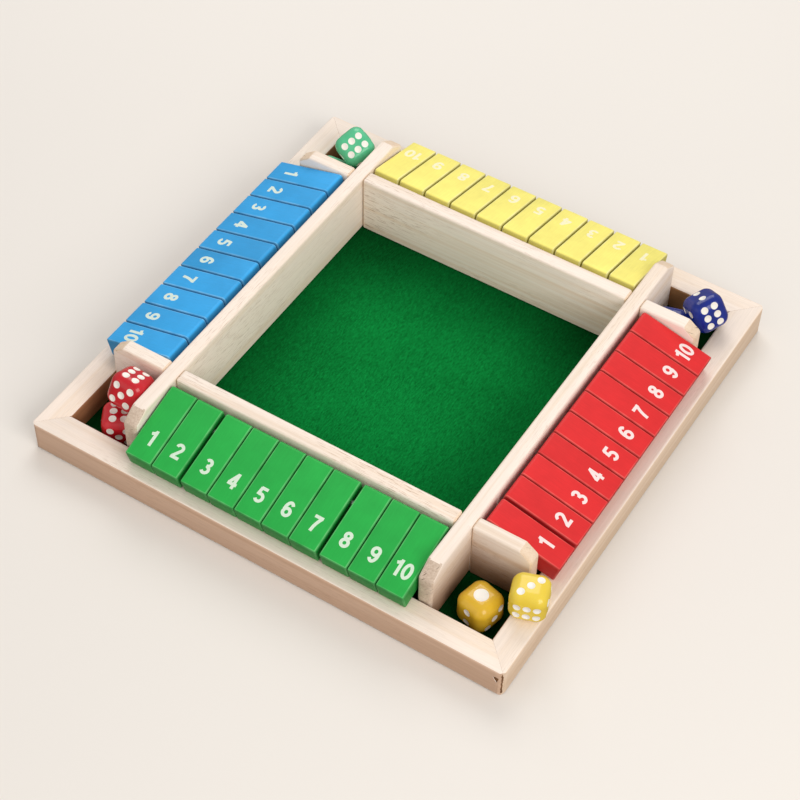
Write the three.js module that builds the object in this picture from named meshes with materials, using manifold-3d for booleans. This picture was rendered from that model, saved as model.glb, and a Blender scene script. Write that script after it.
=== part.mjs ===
// Four-player shut the box game: a mitred tray, four rod-hung rows of flip tiles and eight dice.
// Millimetres, +Z up, origin on the underside at the centre of the tray. The front is at -Y.

import * as THREE from 'three';
import { mergeVertices } from 'three/addons/utils/BufferGeometryUtils.js';
import { RoundedBoxGeometry } from 'three/addons/geometries/RoundedBoxGeometry.js';
import Module from 'manifold-3d';

const wasm = await Module();
wasm.setup();

// Tray frame: four rails mitred at the corners, with a rebate below for the base panel.
const TRAY_WIDTH = 220;
const RAIL_WIDTH = 12;
const RAIL_HEIGHT = 14.7;
const RAIL_EASE = 1;
const CORNER_RADIUS = 2.5;
const MITRE_GROOVE = 0.25;
const REBATE_WIDTH = 6;
const PANEL_THICKNESS = 2.6;
const FELT_THICKNESS = 0.8;

// Upright boards: two full-length partitions, two walls between them and four short dividers.
const BOARD_TOP = 32.5;
const WALL_THICKNESS = 6.5;
const GUTTER_WIDTH = 26.5;
const DIVIDER_THICKNESS = 6.2;
const DIVIDER_INSET = 1;
const DIVIDER_ROOT = 0.5;
const BOARD_EASE = 1;
const PARTITION_CUT_LENGTH = 7.2;
const PARTITION_CUT_DEPTH = 4.5;
const DIVIDER_CUT_LENGTH = 5.5;
const DIVIDER_CUT_DEPTH = 4.1;

// Steel rods in blind sockets, with ten bored tiles on each.
const ROD_DIAMETER = 3;
const ROD_DROP = 6.6;
const ROD_CHAMFER = 0.3;
const SOCKET_DEPTH = 3;
const TILE_THICKNESS = 8.8;
const TILE_EASE = 0.45;
const TILE_COUNT = 10;
const HINGE_SETBACK = 8;
const NOSE_RADIUS = 1.5;
const NOSE_CLEARANCE = 0.6;
const REST_INSET = 5.7;
const ROW_PLAY = 6;

// Dice.
const DIE_SIZE = 15;
const DIE_CORNER = 4;
const PIP_DIAMETER = 3;
const ACE_DIAMETER = 6.2;
const PIP_DEPTH = 0.6;

// Running and fitting clearances.
const CLEARANCE = 0.3;
const BUTT_GAP = 0.2;
const LEAN_GAP = 0.2;

// What follows from them.
const OUTER = TRAY_WIDTH / 2;
const INNER = OUTER - RAIL_WIDTH;
const FLOOR = PANEL_THICKNESS + FELT_THICKNESS;
const GUTTER = INNER - GUTTER_WIDTH;
const PLAY = GUTTER - WALL_THICKNESS;
const DIVIDER_INNER = PLAY - DIVIDER_INSET;
const WELL_EDGE = DIVIDER_INNER + DIVIDER_THICKNESS;
const BOARD_HEIGHT = BOARD_TOP - FLOOR;
const ROD_Z = BOARD_TOP - ROD_DROP;
const NOSE_REACH = Math.hypot(HINGE_SETBACK - NOSE_RADIUS, TILE_THICKNESS / 2 - NOSE_RADIUS) + NOSE_RADIUS;
const ROD_LINE = GUTTER + NOSE_REACH + NOSE_CLEARANCE;
const BORE_DIAMETER = ROD_DIAMETER + 2 * CLEARANCE;

// A tile at rest touches the rail with its lower outer edge: its length and slope come from that point.
const REST_DROP = ROD_Z - RAIL_HEIGHT - CLEARANCE;
const REST_REACH = OUTER - REST_INSET - ROD_LINE;
const TILE_REACH = Math.sqrt(REST_REACH ** 2 + REST_DROP ** 2 - (TILE_THICKNESS / 2) ** 2);
const TILE_SLOPE = Math.atan2(REST_DROP, REST_REACH) - Math.atan2(TILE_THICKNESS / 2, TILE_REACH);
const TILE_WIDTH = (2 * DIVIDER_INNER - ROW_PLAY) / TILE_COUNT;

const WOOD = { color: 0xe8d6bc, roughness: 0.8, metalness: 0 };
const STEEL = { color: 0xc4c6c8, roughness: 0.3, metalness: 1 };
const FELT = { color: 0x0b5a2a, roughness: 1, metalness: 0 };
const PANEL = { color: 0xd9c4a2, roughness: 0.85, metalness: 0 };
const PAINT = {
  green: { color: 0x2faf4b, roughness: 0.55, metalness: 0 },
  red: { color: 0xee4042, roughness: 0.55, metalness: 0 },
  yellow: { color: 0xf7ec5c, roughness: 0.55, metalness: 0 },
  blue: { color: 0x3fa0e8, roughness: 0.55, metalness: 0 },
};
const RESIN = {
  yellow: { color: 0xf2c12e, roughness: 0.25, metalness: 0 },
  red: { color: 0xc4182a, roughness: 0.25, metalness: 0 },
  green: { color: 0x2f9d6b, roughness: 0.25, metalness: 0 },
  blue: { color: 0x1b2590, roughness: 0.25, metalness: 0 },
};

const object = new THREE.Group();

function addMesh(parent, name, geometry, finish) {
  const mesh = new THREE.Mesh(geometry, new THREE.MeshStandardMaterial(finish));
  mesh.name = name;
  parent.add(mesh);
  return mesh;
}

// A closed geometry as a solid that can be joined and cut.
function toSolid(geometry) {
  const bare = geometry.clone();
  bare.deleteAttribute('normal');
  bare.deleteAttribute('uv');
  const merged = mergeVertices(bare, 1e-4);
  return new wasm.Manifold(new wasm.Mesh({
    numProp: 3,
    vertProperties: new Float32Array(merged.attributes.position.array),
    triVerts: new Uint32Array(merged.index.array),
  }));
}

function toGeometry(solid) {
  const mesh = solid.getMesh();
  const geometry = new THREE.BufferGeometry();
  geometry.setAttribute('position', new THREE.BufferAttribute(new Float32Array(mesh.vertProperties), 3));
  geometry.setIndex(new THREE.BufferAttribute(new Uint32Array(mesh.triVerts), 1));
  geometry.computeVertexNormals();
  return geometry;
}

function cut(geometry, ...tools) {
  return toGeometry(tools.reduce((rest, tool) => rest.subtract(toSolid(tool)), toSolid(geometry)));
}

function outline(points) {
  return new THREE.Shape(points.map(([x, y]) => new THREE.Vector2(x, y)));
}

// A board of an outline and a thickness, all its edges eased, standing along X or along Y and centred
// on its own thickness.
function board(points, thickness, ease, along) {
  const geometry = new THREE.ExtrudeGeometry(outline(points), {
    depth: thickness - 2 * ease,
    bevelEnabled: true,
    bevelThickness: ease,
    bevelSize: ease,
    bevelOffset: -ease,
    bevelSegments: 2,
  });
  geometry.translate(0, 0, ease - thickness / 2);
  const x = new THREE.Vector3(1, 0, 0);
  const y = new THREE.Vector3(0, 1, 0);
  const z = new THREE.Vector3(0, 0, 1);
  const basis = new THREE.Matrix4();
  if (along === 'y') {
    basis.makeBasis(y, z, x);
  } else {
    basis.makeBasis(x, z, y.negate());
  }
  return geometry.applyMatrix4(basis);
}

function rod(diameter, length, along, sides = 16) {
  const geometry = new THREE.CylinderGeometry(diameter / 2, diameter / 2, length, sides);
  if (along === 'x') geometry.rotateZ(Math.PI / 2);
  return geometry;
}

// The four rails as one mitred ring: the rail section turned through four corners.
function frameGeometry() {
  const section = [
    [INNER, PANEL_THICKNESS],
    [INNER + REBATE_WIDTH, PANEL_THICKNESS],
    [INNER + REBATE_WIDTH, 0],
    [OUTER - RAIL_EASE, 0],
    [OUTER - 0.3 * RAIL_EASE, 0.3 * RAIL_EASE],
    [OUTER, RAIL_EASE],
    [OUTER, RAIL_HEIGHT - RAIL_EASE],
    [OUTER - 0.3 * RAIL_EASE, RAIL_HEIGHT - 0.3 * RAIL_EASE],
    [OUTER - RAIL_EASE, RAIL_HEIGHT],
    [INNER + RAIL_EASE, RAIL_HEIGHT],
    [INNER + 0.3 * RAIL_EASE, RAIL_HEIGHT - 0.3 * RAIL_EASE],
    [INNER, RAIL_HEIGHT - RAIL_EASE],
    [INNER, PANEL_THICKNESS],
  ];
  const corner = Math.SQRT2;
  const profile = section.map(([r, z]) => new THREE.Vector2(r * corner, z));
  const ring = new THREE.LatheGeometry(profile, 4, Math.PI / 4).rotateX(Math.PI / 2);

  const plan = new THREE.Shape();
  const flat = OUTER - CORNER_RADIUS;
  plan.absarc(flat, -flat, CORNER_RADIUS, -Math.PI / 2, 0);
  plan.absarc(flat, flat, CORNER_RADIUS, 0, Math.PI / 2);
  plan.absarc(-flat, flat, CORNER_RADIUS, Math.PI / 2, Math.PI);
  plan.absarc(-flat, -flat, CORNER_RADIUS, Math.PI, 1.5 * Math.PI);
  const corners = new THREE.ExtrudeGeometry(plan, {
    depth: RAIL_HEIGHT + 2, bevelEnabled: false, curveSegments: 6,
  }).translate(0, 0, -1);

  let solid = toSolid(ring).intersect(toSolid(corners));
  // A fine V along each mitre, over the top and down the corner.
  const reach = RAIL_WIDTH * corner + 2;
  for (const angle of [45, 135, 225, 315]) {
    const over = new THREE.CylinderGeometry(MITRE_GROOVE, MITRE_GROOVE, reach, 4);
    over.rotateZ(Math.PI / 2).translate((INNER + OUTER) / 2 * corner, 0, RAIL_HEIGHT);
    over.rotateZ(THREE.MathUtils.degToRad(angle));
    solid = solid.subtract(toSolid(over));
  }
  return toGeometry(solid);
}

// Full-length board with both top corners cut off, bored for the rod ends, joined with its dividers.
function partitionGeometry(side) {
  const end = INNER - CLEARANCE;
  const plank = board([
    [-end, FLOOR],
    [end, FLOOR],
    [end, BOARD_TOP - PARTITION_CUT_DEPTH],
    [end - PARTITION_CUT_LENGTH, BOARD_TOP],
    [-end + PARTITION_CUT_LENGTH, BOARD_TOP],
    [-end, BOARD_TOP - PARTITION_CUT_DEPTH],
  ], WALL_THICKNESS, BOARD_EASE, 'y');
  const middle = PLAY + WALL_THICKNESS / 2;
  plank.translate(side * middle, 0, 0);

  const root = side * (GUTTER - DIVIDER_ROOT);
  const tip = side * (INNER - CLEARANCE);
  const shoulder = side * (INNER - CLEARANCE - DIVIDER_CUT_LENGTH);
  const points = [
    [root, FLOOR],
    [tip, FLOOR],
    [tip, BOARD_TOP - DIVIDER_CUT_DEPTH],
    [shoulder, BOARD_TOP],
    [root, BOARD_TOP],
  ];
  if (side < 0) points.reverse();
  let solid = toSolid(plank);
  for (const end of [-1, 1]) {
    const divider = board(points, DIVIDER_THICKNESS, BOARD_EASE, 'x');
    divider.translate(0, end * (DIVIDER_INNER + DIVIDER_THICKNESS / 2), 0);
    solid = solid.add(toSolid(divider));
  }
  for (const end of [-1, 1]) {
    const sideSocket = rod(BORE_DIAMETER, 2 * SOCKET_DEPTH, 'y');
    sideSocket.translate(side * ROD_LINE, end * DIVIDER_INNER, ROD_Z);
    const crossSocket = rod(BORE_DIAMETER, 2 * SOCKET_DEPTH, 'x');
    crossSocket.translate(side * PLAY, end * ROD_LINE, ROD_Z);
    solid = solid.subtract(toSolid(sideSocket)).subtract(toSolid(crossSocket));
  }
  return toGeometry(solid);
}

function crossWallGeometry(side) {
  const end = PLAY - BUTT_GAP;
  const wall = board([
    [-end, FLOOR],
    [end, FLOOR],
    [end, BOARD_TOP],
    [-end, BOARD_TOP],
  ], WALL_THICKNESS, BOARD_EASE, 'x');
  return wall.translate(0, side * (PLAY + WALL_THICKNESS / 2), 0);
}

function pivotRodGeometry(span) {
  const length = span + 2 * (SOCKET_DEPTH - CLEARANCE);
  const r = ROD_DIAMETER / 2;
  const profile = [
    [0, -length / 2],
    [r - ROD_CHAMFER, -length / 2],
    [r, -length / 2 + ROD_CHAMFER],
    [r, length / 2 - ROD_CHAMFER],
    [r - ROD_CHAMFER, length / 2],
    [0, length / 2],
  ].map(([x, y]) => new THREE.Vector2(x, y));
  return new THREE.LatheGeometry(profile, 16).rotateZ(Math.PI / 2);
}

// A tile in its own frame: rod axis along X at the origin, outer end at -Y, rounded nose at +Y.
function tileGeometry() {
  const half = TILE_THICKNESS / 2;
  const profile = new THREE.Shape();
  profile.moveTo(-TILE_REACH, -half + TILE_EASE);
  profile.lineTo(-TILE_REACH + TILE_EASE, -half);
  profile.absarc(HINGE_SETBACK - NOSE_RADIUS, -half + NOSE_RADIUS, NOSE_RADIUS, -Math.PI / 2, 0);
  profile.absarc(HINGE_SETBACK - NOSE_RADIUS, half - NOSE_RADIUS, NOSE_RADIUS, 0, Math.PI / 2);
  profile.lineTo(-TILE_REACH + TILE_EASE, half);
  profile.lineTo(-TILE_REACH, half - TILE_EASE);
  const block = new THREE.ExtrudeGeometry(profile, {
    depth: TILE_WIDTH - 2 * TILE_EASE,
    curveSegments: 2,
    bevelEnabled: true,
    bevelThickness: TILE_EASE,
    bevelSize: TILE_EASE,
    bevelOffset: -TILE_EASE,
    bevelSegments: 1,
  });
  block.translate(0, 0, TILE_EASE - TILE_WIDTH / 2);
  const axes = [[0, 1, 0], [0, 0, 1], [1, 0, 0]].map((axis) => new THREE.Vector3(...axis));
  block.applyMatrix4(new THREE.Matrix4().makeBasis(...axes));
  return cut(block, rod(BORE_DIAMETER, TILE_WIDTH + 2, 'x', 12));
}

// A row of tiles on its rod, seen from its own player: tile 1 on the left. The weights share out the
// play along the rod, from the left end to the right end.
function addRow({ colour, turn, span, weights, rodName }) {
  const row = new THREE.Group();
  row.rotation.z = THREE.MathUtils.degToRad(turn);
  object.add(row);
  const pivot = addMesh(row, rodName, pivotRodGeometry(span), STEEL);
  pivot.position.set(0, -ROD_LINE, ROD_Z);
  const play = span - TILE_COUNT * TILE_WIDTH;
  const total = weights.reduce((sum, weight) => sum + weight, 0);
  let x = -span / 2;
  for (let i = 0; i < TILE_COUNT; i += 1) {
    x += play * weights[i] / total + TILE_WIDTH / 2;
    const number = String(i + 1).padStart(2, '0');
    const tile = addMesh(row, `${colour}_tile_${number}`, TILE, PAINT[colour]);
    tile.position.set(x, -ROD_LINE, ROD_Z);
    tile.rotation.x = TILE_SLOPE;
    x += TILE_WIDTH / 2;
  }
}

// Pips lie on the corners of a square, on its middle and on the middles of two sides. Opposite faces
// add up to seven: one faces +Z, two -Y, three +X.
function pipPlaces() {
  const step = 0.22 * DIE_SIZE;
  const pair = 0.2 * DIE_SIZE;
  const column = 0.153 * DIE_SIZE;
  const rank = 0.26 * DIE_SIZE;
  const corners = [[-step, -step], [-step, step], [step, -step], [step, step]];
  const at = (face, u, v, size = PIP_DIAMETER) => ({ face, u, v, size });
  return [
    at('+z', 0, 0, ACE_DIAMETER),
    at('-y', 0, -pair), at('-y', 0, pair),
    at('+x', -step, -step), at('+x', 0, 0), at('+x', step, step),
    ...corners.map(([u, v]) => at('-x', u, v)),
    ...corners.map(([u, v]) => at('+y', u, v)), at('+y', 0, 0),
    ...[-rank, 0, rank].flatMap((v) => [at('-z', -column, v), at('-z', column, v)]),
  ];
}

function dieGeometry() {
  const axes = {
    '+x': [[0, 1, 0], [0, 0, 1], [1, 0, 0]],
    '-x': [[0, -1, 0], [0, 0, 1], [-1, 0, 0]],
    '+y': [[-1, 0, 0], [0, 0, 1], [0, 1, 0]],
    '-y': [[1, 0, 0], [0, 0, 1], [0, -1, 0]],
    '+z': [[1, 0, 0], [0, 1, 0], [0, 0, 1]],
    '-z': [[-1, 0, 0], [0, 1, 0], [0, 0, -1]],
  };
  let solid = toSolid(new RoundedBoxGeometry(DIE_SIZE, DIE_SIZE, DIE_SIZE, 2, DIE_CORNER));
  for (const { face, u, v, size } of pipPlaces()) {
    // A shallow cone with its wide end a little outside the face.
    const depth = PIP_DEPTH * size / PIP_DIAMETER * (size > PIP_DIAMETER ? 0.6 : 1);
    const over = 0.2;
    const wide = size / 2 * (depth + over) / depth;
    const cone = new THREE.ConeGeometry(wide, depth + over, 8).rotateX(-Math.PI / 2);
    cone.translate(u, v, DIE_SIZE / 2 - depth + (depth + over) / 2);
    cone.applyMatrix4(new THREE.Matrix4().makeBasis(...axes[face].map((axis) => new THREE.Vector3(...axis))));
    solid = solid.subtract(toSolid(cone));
  }
  return toGeometry(solid);
}

function worldSolid(mesh) {
  mesh.updateWorldMatrix(true, false);
  return toSolid(mesh.geometry.clone().applyMatrix4(mesh.matrixWorld));
}

// How far a turned die reaches from its centre along X, axis 0, or along Y, axis 1.
function dieReach(turn, axis) {
  const [yaw, pitch, roll] = turn.map((angle) => THREE.MathUtils.degToRad(angle));
  const matrix = new THREE.Matrix4().makeRotationFromEuler(new THREE.Euler(pitch, roll, yaw, 'ZXY'));
  const spread = [0, 4, 8].reduce((sum, column) => sum + Math.abs(matrix.elements[column + axis]), 0);
  return (DIE_SIZE / 2 - DIE_CORNER) * spread + DIE_CORNER;
}

// Centre in plan of a die that lies flat in a corner well. The shares say how much of its free play
// lies on the partition's side and on the divider's side.
function inWell(side, turn, share) {
  const [reachX, reachY] = [dieReach(turn, 0), dieReach(turn, 1)];
  const x = GUTTER + reachX + share[0] * (INNER - GUTTER - 2 * reachX);
  const y = WELL_EDGE + reachY + share[1] * (INNER - WELL_EDGE - 2 * reachY);
  return [side[0] * x, side[1] * y];
}

function addDie(name, colour, turn, position) {
  const die = addMesh(object, name, DIE, RESIN[colour]);
  const [yaw, pitch, roll] = turn.map((angle) => THREE.MathUtils.degToRad(angle));
  die.rotation.set(pitch, roll, yaw, 'ZXY');
  die.position.set(...position);
  return die;
}

// Lowers a leaning die along Z until it would cut into what carries it, then keeps the clearance.
function settle(die, supports) {
  const carriers = supports.map(worldSolid);
  let low = FLOOR;
  let high = BOARD_TOP + 2 * DIE_SIZE;
  while (high - low > 0.005) {
    die.position.z = (low + high) / 2;
    const solid = worldSolid(die);
    const touches = carriers.some((carrier) => !solid.intersect(carrier).isEmpty());
    if (touches) low = die.position.z;
    else high = die.position.z;
  }
  die.position.z = high + CLEARANCE;
}

const frame = addMesh(object, 'outer_frame', frameGeometry(), WOOD);
const panelSide = 2 * (INNER + REBATE_WIDTH - CLEARANCE);
const panel = addMesh(object, 'base_panel', new THREE.BoxGeometry(panelSide, panelSide, PANEL_THICKNESS), PANEL);
panel.position.z = PANEL_THICKNESS / 2;
const feltSide = 2 * (INNER - CLEARANCE);
const felt = addMesh(object, 'felt_sheet', new THREE.BoxGeometry(feltSide, feltSide, FELT_THICKNESS), FELT);
felt.position.z = PANEL_THICKNESS + FELT_THICKNESS / 2;
const leftPartition = addMesh(object, 'left_partition', partitionGeometry(-1), WOOD);
const rightPartition = addMesh(object, 'right_partition', partitionGeometry(1), WOOD);
addMesh(object, 'front_wall', crossWallGeometry(-1), WOOD);
addMesh(object, 'back_wall', crossWallGeometry(1), WOOD);

const TILE = tileGeometry();
const EVEN = [1, 1, 1, 1, 1, 1, 1, 1, 1, 1, 1];
addRow({
  colour: 'green', turn: 0, span: 2 * PLAY, weights: [2, 1, 4, 1, 1, 1, 1, 4, 1, 1, 2], rodName: 'front_pivot_rod',
});
addRow({
  colour: 'red', turn: 90, span: 2 * DIVIDER_INNER, weights: [1, 3, 1, 1, 1, 1, 1, 1, 1, 1, 1],
  rodName: 'right_pivot_rod',
});
addRow({ colour: 'yellow', turn: 180, span: 2 * PLAY, weights: EVEN, rodName: 'back_pivot_rod' });
addRow({ colour: 'blue', turn: 270, span: 2 * DIVIDER_INNER, weights: EVEN, rodName: 'left_pivot_rod' });

// Dice: the first of each pair lies flat in its well, the second leans over it or lies on the rail.
const DIE = dieGeometry();
const LYING = FLOOR + DIE_SIZE / 2;

const yellowTurn = [-14, 0, 0];
const yellowSpot = inWell([1, -1], yellowTurn, [0.614, 0.658]);
addDie('yellow_die_in_well', 'yellow', yellowTurn, [...yellowSpot, LYING]);
addDie('yellow_die_on_rail', 'yellow', [-70.7, 0, -90], [
  yellowSpot[0] + 1.12 * DIE_SIZE,
  yellowSpot[1] + 0.44 * DIE_SIZE,
  RAIL_HEIGHT + DIE_SIZE / 2,
]);

const redTurn = [-148.9, 0, 180];
const redLean = [-177.4, 25.1, 172.5];
const redSpot = inWell([-1, -1], redTurn, [0.146, 0.883]);
const redLower = addDie('red_die_lower', 'red', redTurn, [...redSpot, LYING]);
const redUpper = addDie('red_die_upper', 'red', redLean, [
  -(GUTTER + LEAN_GAP + dieReach(redLean, 0)),
  redSpot[1] + 0.433 * DIE_SIZE,
  0,
]);
settle(redUpper, [frame, leftPartition, felt, redLower]);

const greenTurn = [4, 0, 0];
const greenLean = [-26.5, 24.4, -146.9];
const greenSpot = inWell([-1, 1], greenTurn, [0.959, 0.037]);
const greenLower = addDie('green_die_lower', 'green', greenTurn, [...greenSpot, LYING]);
const greenUpper = addDie('green_die_upper', 'green', greenLean, [
  -(GUTTER + 1.3 + dieReach(greenLean, 0)),
  greenSpot[1] + 0.527 * DIE_SIZE,
  0,
]);
settle(greenUpper, [frame, leftPartition, felt, greenLower]);

const blueTurn = [17, 0, 0];
const blueLean = [-97.1, -57.5, -150.8];
const blueSpot = inWell([1, 1], blueTurn, [0.072, 0.081]);
const blueLower = addDie('blue_die_lower', 'blue', blueTurn, [...blueSpot, LYING]);
const blueUpper = addDie('blue_die_upper', 'blue', blueLean, [
  blueSpot[0] + 0.808 * DIE_SIZE,
  blueSpot[1] + 0.385 * DIE_SIZE,
  0,
]);
settle(blueUpper, [frame, rightPartition, felt, blueLower]);

export default object;
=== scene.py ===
"""Looks of a four-player shut the box game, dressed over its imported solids.

The tray is pale unfinished pine with mitred rails, the floor is lined with green felt, forty painted tiles
hang on four steel rods and eight resin dice lie in the corner wells. Sizes are in millimetres unless they say
otherwise. +Z is up, and the player of the green row sits at -Y.
"""

from __future__ import annotations

import logging
import math
import random
from dataclasses import dataclass, field
from enum import Enum
from functools import partial
from typing import Any, Callable, Iterable, Sequence

import bmesh
import bpy
from bpy.types import Material, Mesh, NodeSocket, NodeTree, Object
from mathutils import Matrix, Vector

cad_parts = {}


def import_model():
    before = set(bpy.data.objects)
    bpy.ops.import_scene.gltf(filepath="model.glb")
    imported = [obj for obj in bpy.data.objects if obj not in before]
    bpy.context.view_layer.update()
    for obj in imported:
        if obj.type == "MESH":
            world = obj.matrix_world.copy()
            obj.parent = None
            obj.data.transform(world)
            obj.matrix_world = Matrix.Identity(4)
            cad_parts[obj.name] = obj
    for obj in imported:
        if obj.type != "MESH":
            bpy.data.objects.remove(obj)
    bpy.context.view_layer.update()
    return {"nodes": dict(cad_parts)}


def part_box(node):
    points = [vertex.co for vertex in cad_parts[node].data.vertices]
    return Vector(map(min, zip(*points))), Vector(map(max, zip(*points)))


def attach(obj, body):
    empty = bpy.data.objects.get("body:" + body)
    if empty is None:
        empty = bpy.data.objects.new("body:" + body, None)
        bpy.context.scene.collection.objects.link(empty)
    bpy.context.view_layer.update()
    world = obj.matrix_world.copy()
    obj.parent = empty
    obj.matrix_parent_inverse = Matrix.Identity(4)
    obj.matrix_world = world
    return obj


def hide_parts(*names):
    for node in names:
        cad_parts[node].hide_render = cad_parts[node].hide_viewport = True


LOG = logging.getLogger("shut_the_box")
MM = 0.001
DECIMETRE = 100 * MM
HAIR = 1e-4 * MM
# How far a cutting tool reaches past what it cuts.
OVERSHOOT = 1.0
QUARTER = math.pi / 2
# A Mix node in colour: its inputs A and B by number after its factor at 0, and its settings with its output.
A, B = 6, 7
IN_COLOUR = {"out": 2, "data_type": "RGBA"}
Point = tuple[float, float]
Triple = tuple[float, float, float]
Stroke = tuple[bool, list[Point]]
Adder = Callable[..., Any]
# Limits of a mapped value: from low, from high, to low and to high, the last two 0 and 1 where left out.
Span = tuple[float, ...]


class Along(Enum):
    """The way that the fibres of a board, or a bore, run."""

    X = "x"
    Y = "y"


class Keep(Enum):
    """What a cut leaves of a piece: the part outside the tool or the part inside it."""

    OUTSIDE = "DIFFERENCE"
    INSIDE = "INTERSECT"


# Colour and node helpers


def linear(hex_colour: str) -> tuple[float, float, float, float]:
    """Turn an sRGB hex colour into linear RGBA.

    Args:
        hex_colour: Six hex digits, such as "F0DEC6".

    Returns:
        The linear red, green, blue and an alpha of 1.
    """
    channels = [int(hex_colour[i : i + 2], 16) / 255 for i in (0, 2, 4)]
    red, green, blue = (c / 12.92 if c <= 0.04045 else ((c + 0.055) / 1.055) ** 2.4 for c in channels)
    return red, green, blue, 1.0


def add_node(tree: NodeTree, kind: str, inputs: Iterable[Any] = (), out: Any = 0, **settings: Any) -> Any:
    """Add a node, set it up and link it.

    Args:
        tree: The shader or geometry tree that gets the node.
        kind: The node's type name.
        inputs: Values or output sockets for its inputs, in order, or in a dict by name or number.
        out: The output that is wanted, by name or number, or None for all of them.
        **settings: Properties of the node, such as its operation.

    Returns:
        The wanted output socket, or all the outputs.
    """
    node = tree.nodes.new(kind)
    for name, value in settings.items():
        setattr(node, name, value)
    for key, value in inputs.items() if isinstance(inputs, dict) else enumerate(inputs):
        if isinstance(value, NodeSocket):
            tree.links.new(value, node.inputs[key])
        else:
            node.inputs[key].default_value = value
    return node.outputs if out is None else node.outputs[out]


def sized_noise(
    add: Adder,
    place: NodeSocket,
    size: float | Triple,
    detail: float,
    rough: float = 0.5,
    unit: float = 1000.0,
) -> NodeSocket:
    """Lay a noise pattern whose features have a real size.

    Args:
        add: The add_node of the material's tree.
        place: The coordinates.
        size: The features' size in millimetres, the same all ways or one for each axis.
        detail: Octaves of finer noise.
        rough: The weight of the finer noise.
        unit: Millimetres in a unit of the coordinates.

    Returns:
        The noise, about 0.5 on average.
    """
    sizes = size if isinstance(size, tuple) else (size, size, size)
    spot = add("ShaderNodeMapping", {"Vector": place, "Scale": [unit / axis for axis in sizes]})
    return add("ShaderNodeTexNoise", {"Vector": spot, "Scale": 1.0, "Detail": detail, "Roughness": rough})


def middle_distance(add: Adder, x: NodeSocket, y: NodeSocket) -> NodeSocket:
    """Give how far a spot is from the tray's middle: the larger of its distances along X and along Y."""
    sides = [add("ShaderNodeMath", (axis,), operation="ABSOLUTE") for axis in (x, y)]
    return add("ShaderNodeMath", sides, operation="MAXIMUM")


# Finishes


@dataclass(frozen=True)
class Finish:
    """A finish by its name. Each kind of finish says what the Principled surface gets.

    A kind whose surface gives a Height has a relief: the depth and the strength of its bumps.
    """

    name: str

    def surface(self, add: Adder) -> dict[str, Any]:
        """Lay out the finish's pattern, and give the surface's values and sockets by input."""
        raise NotImplementedError

    def build(self) -> Material:
        """Build the material.

        Returns:
            A material whose one shader is a Principled surface.
        """
        material = bpy.data.materials.new(self.name)
        material.use_nodes = True
        material.node_tree.nodes.clear()
        add = partial(add_node, material.node_tree)
        values = self.surface(add)
        if "Height" in values:
            depth, strength = self.relief
            bump = {"Height": values.pop("Height"), "Strength": strength, "Distance": depth * MM}
            values["Normal"] = add("ShaderNodeBump", bump)
        skin = add("ShaderNodeBsdfPrincipled", values)
        add("ShaderNodeOutputMaterial", {"Surface": skin}, None)
        return material


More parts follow.
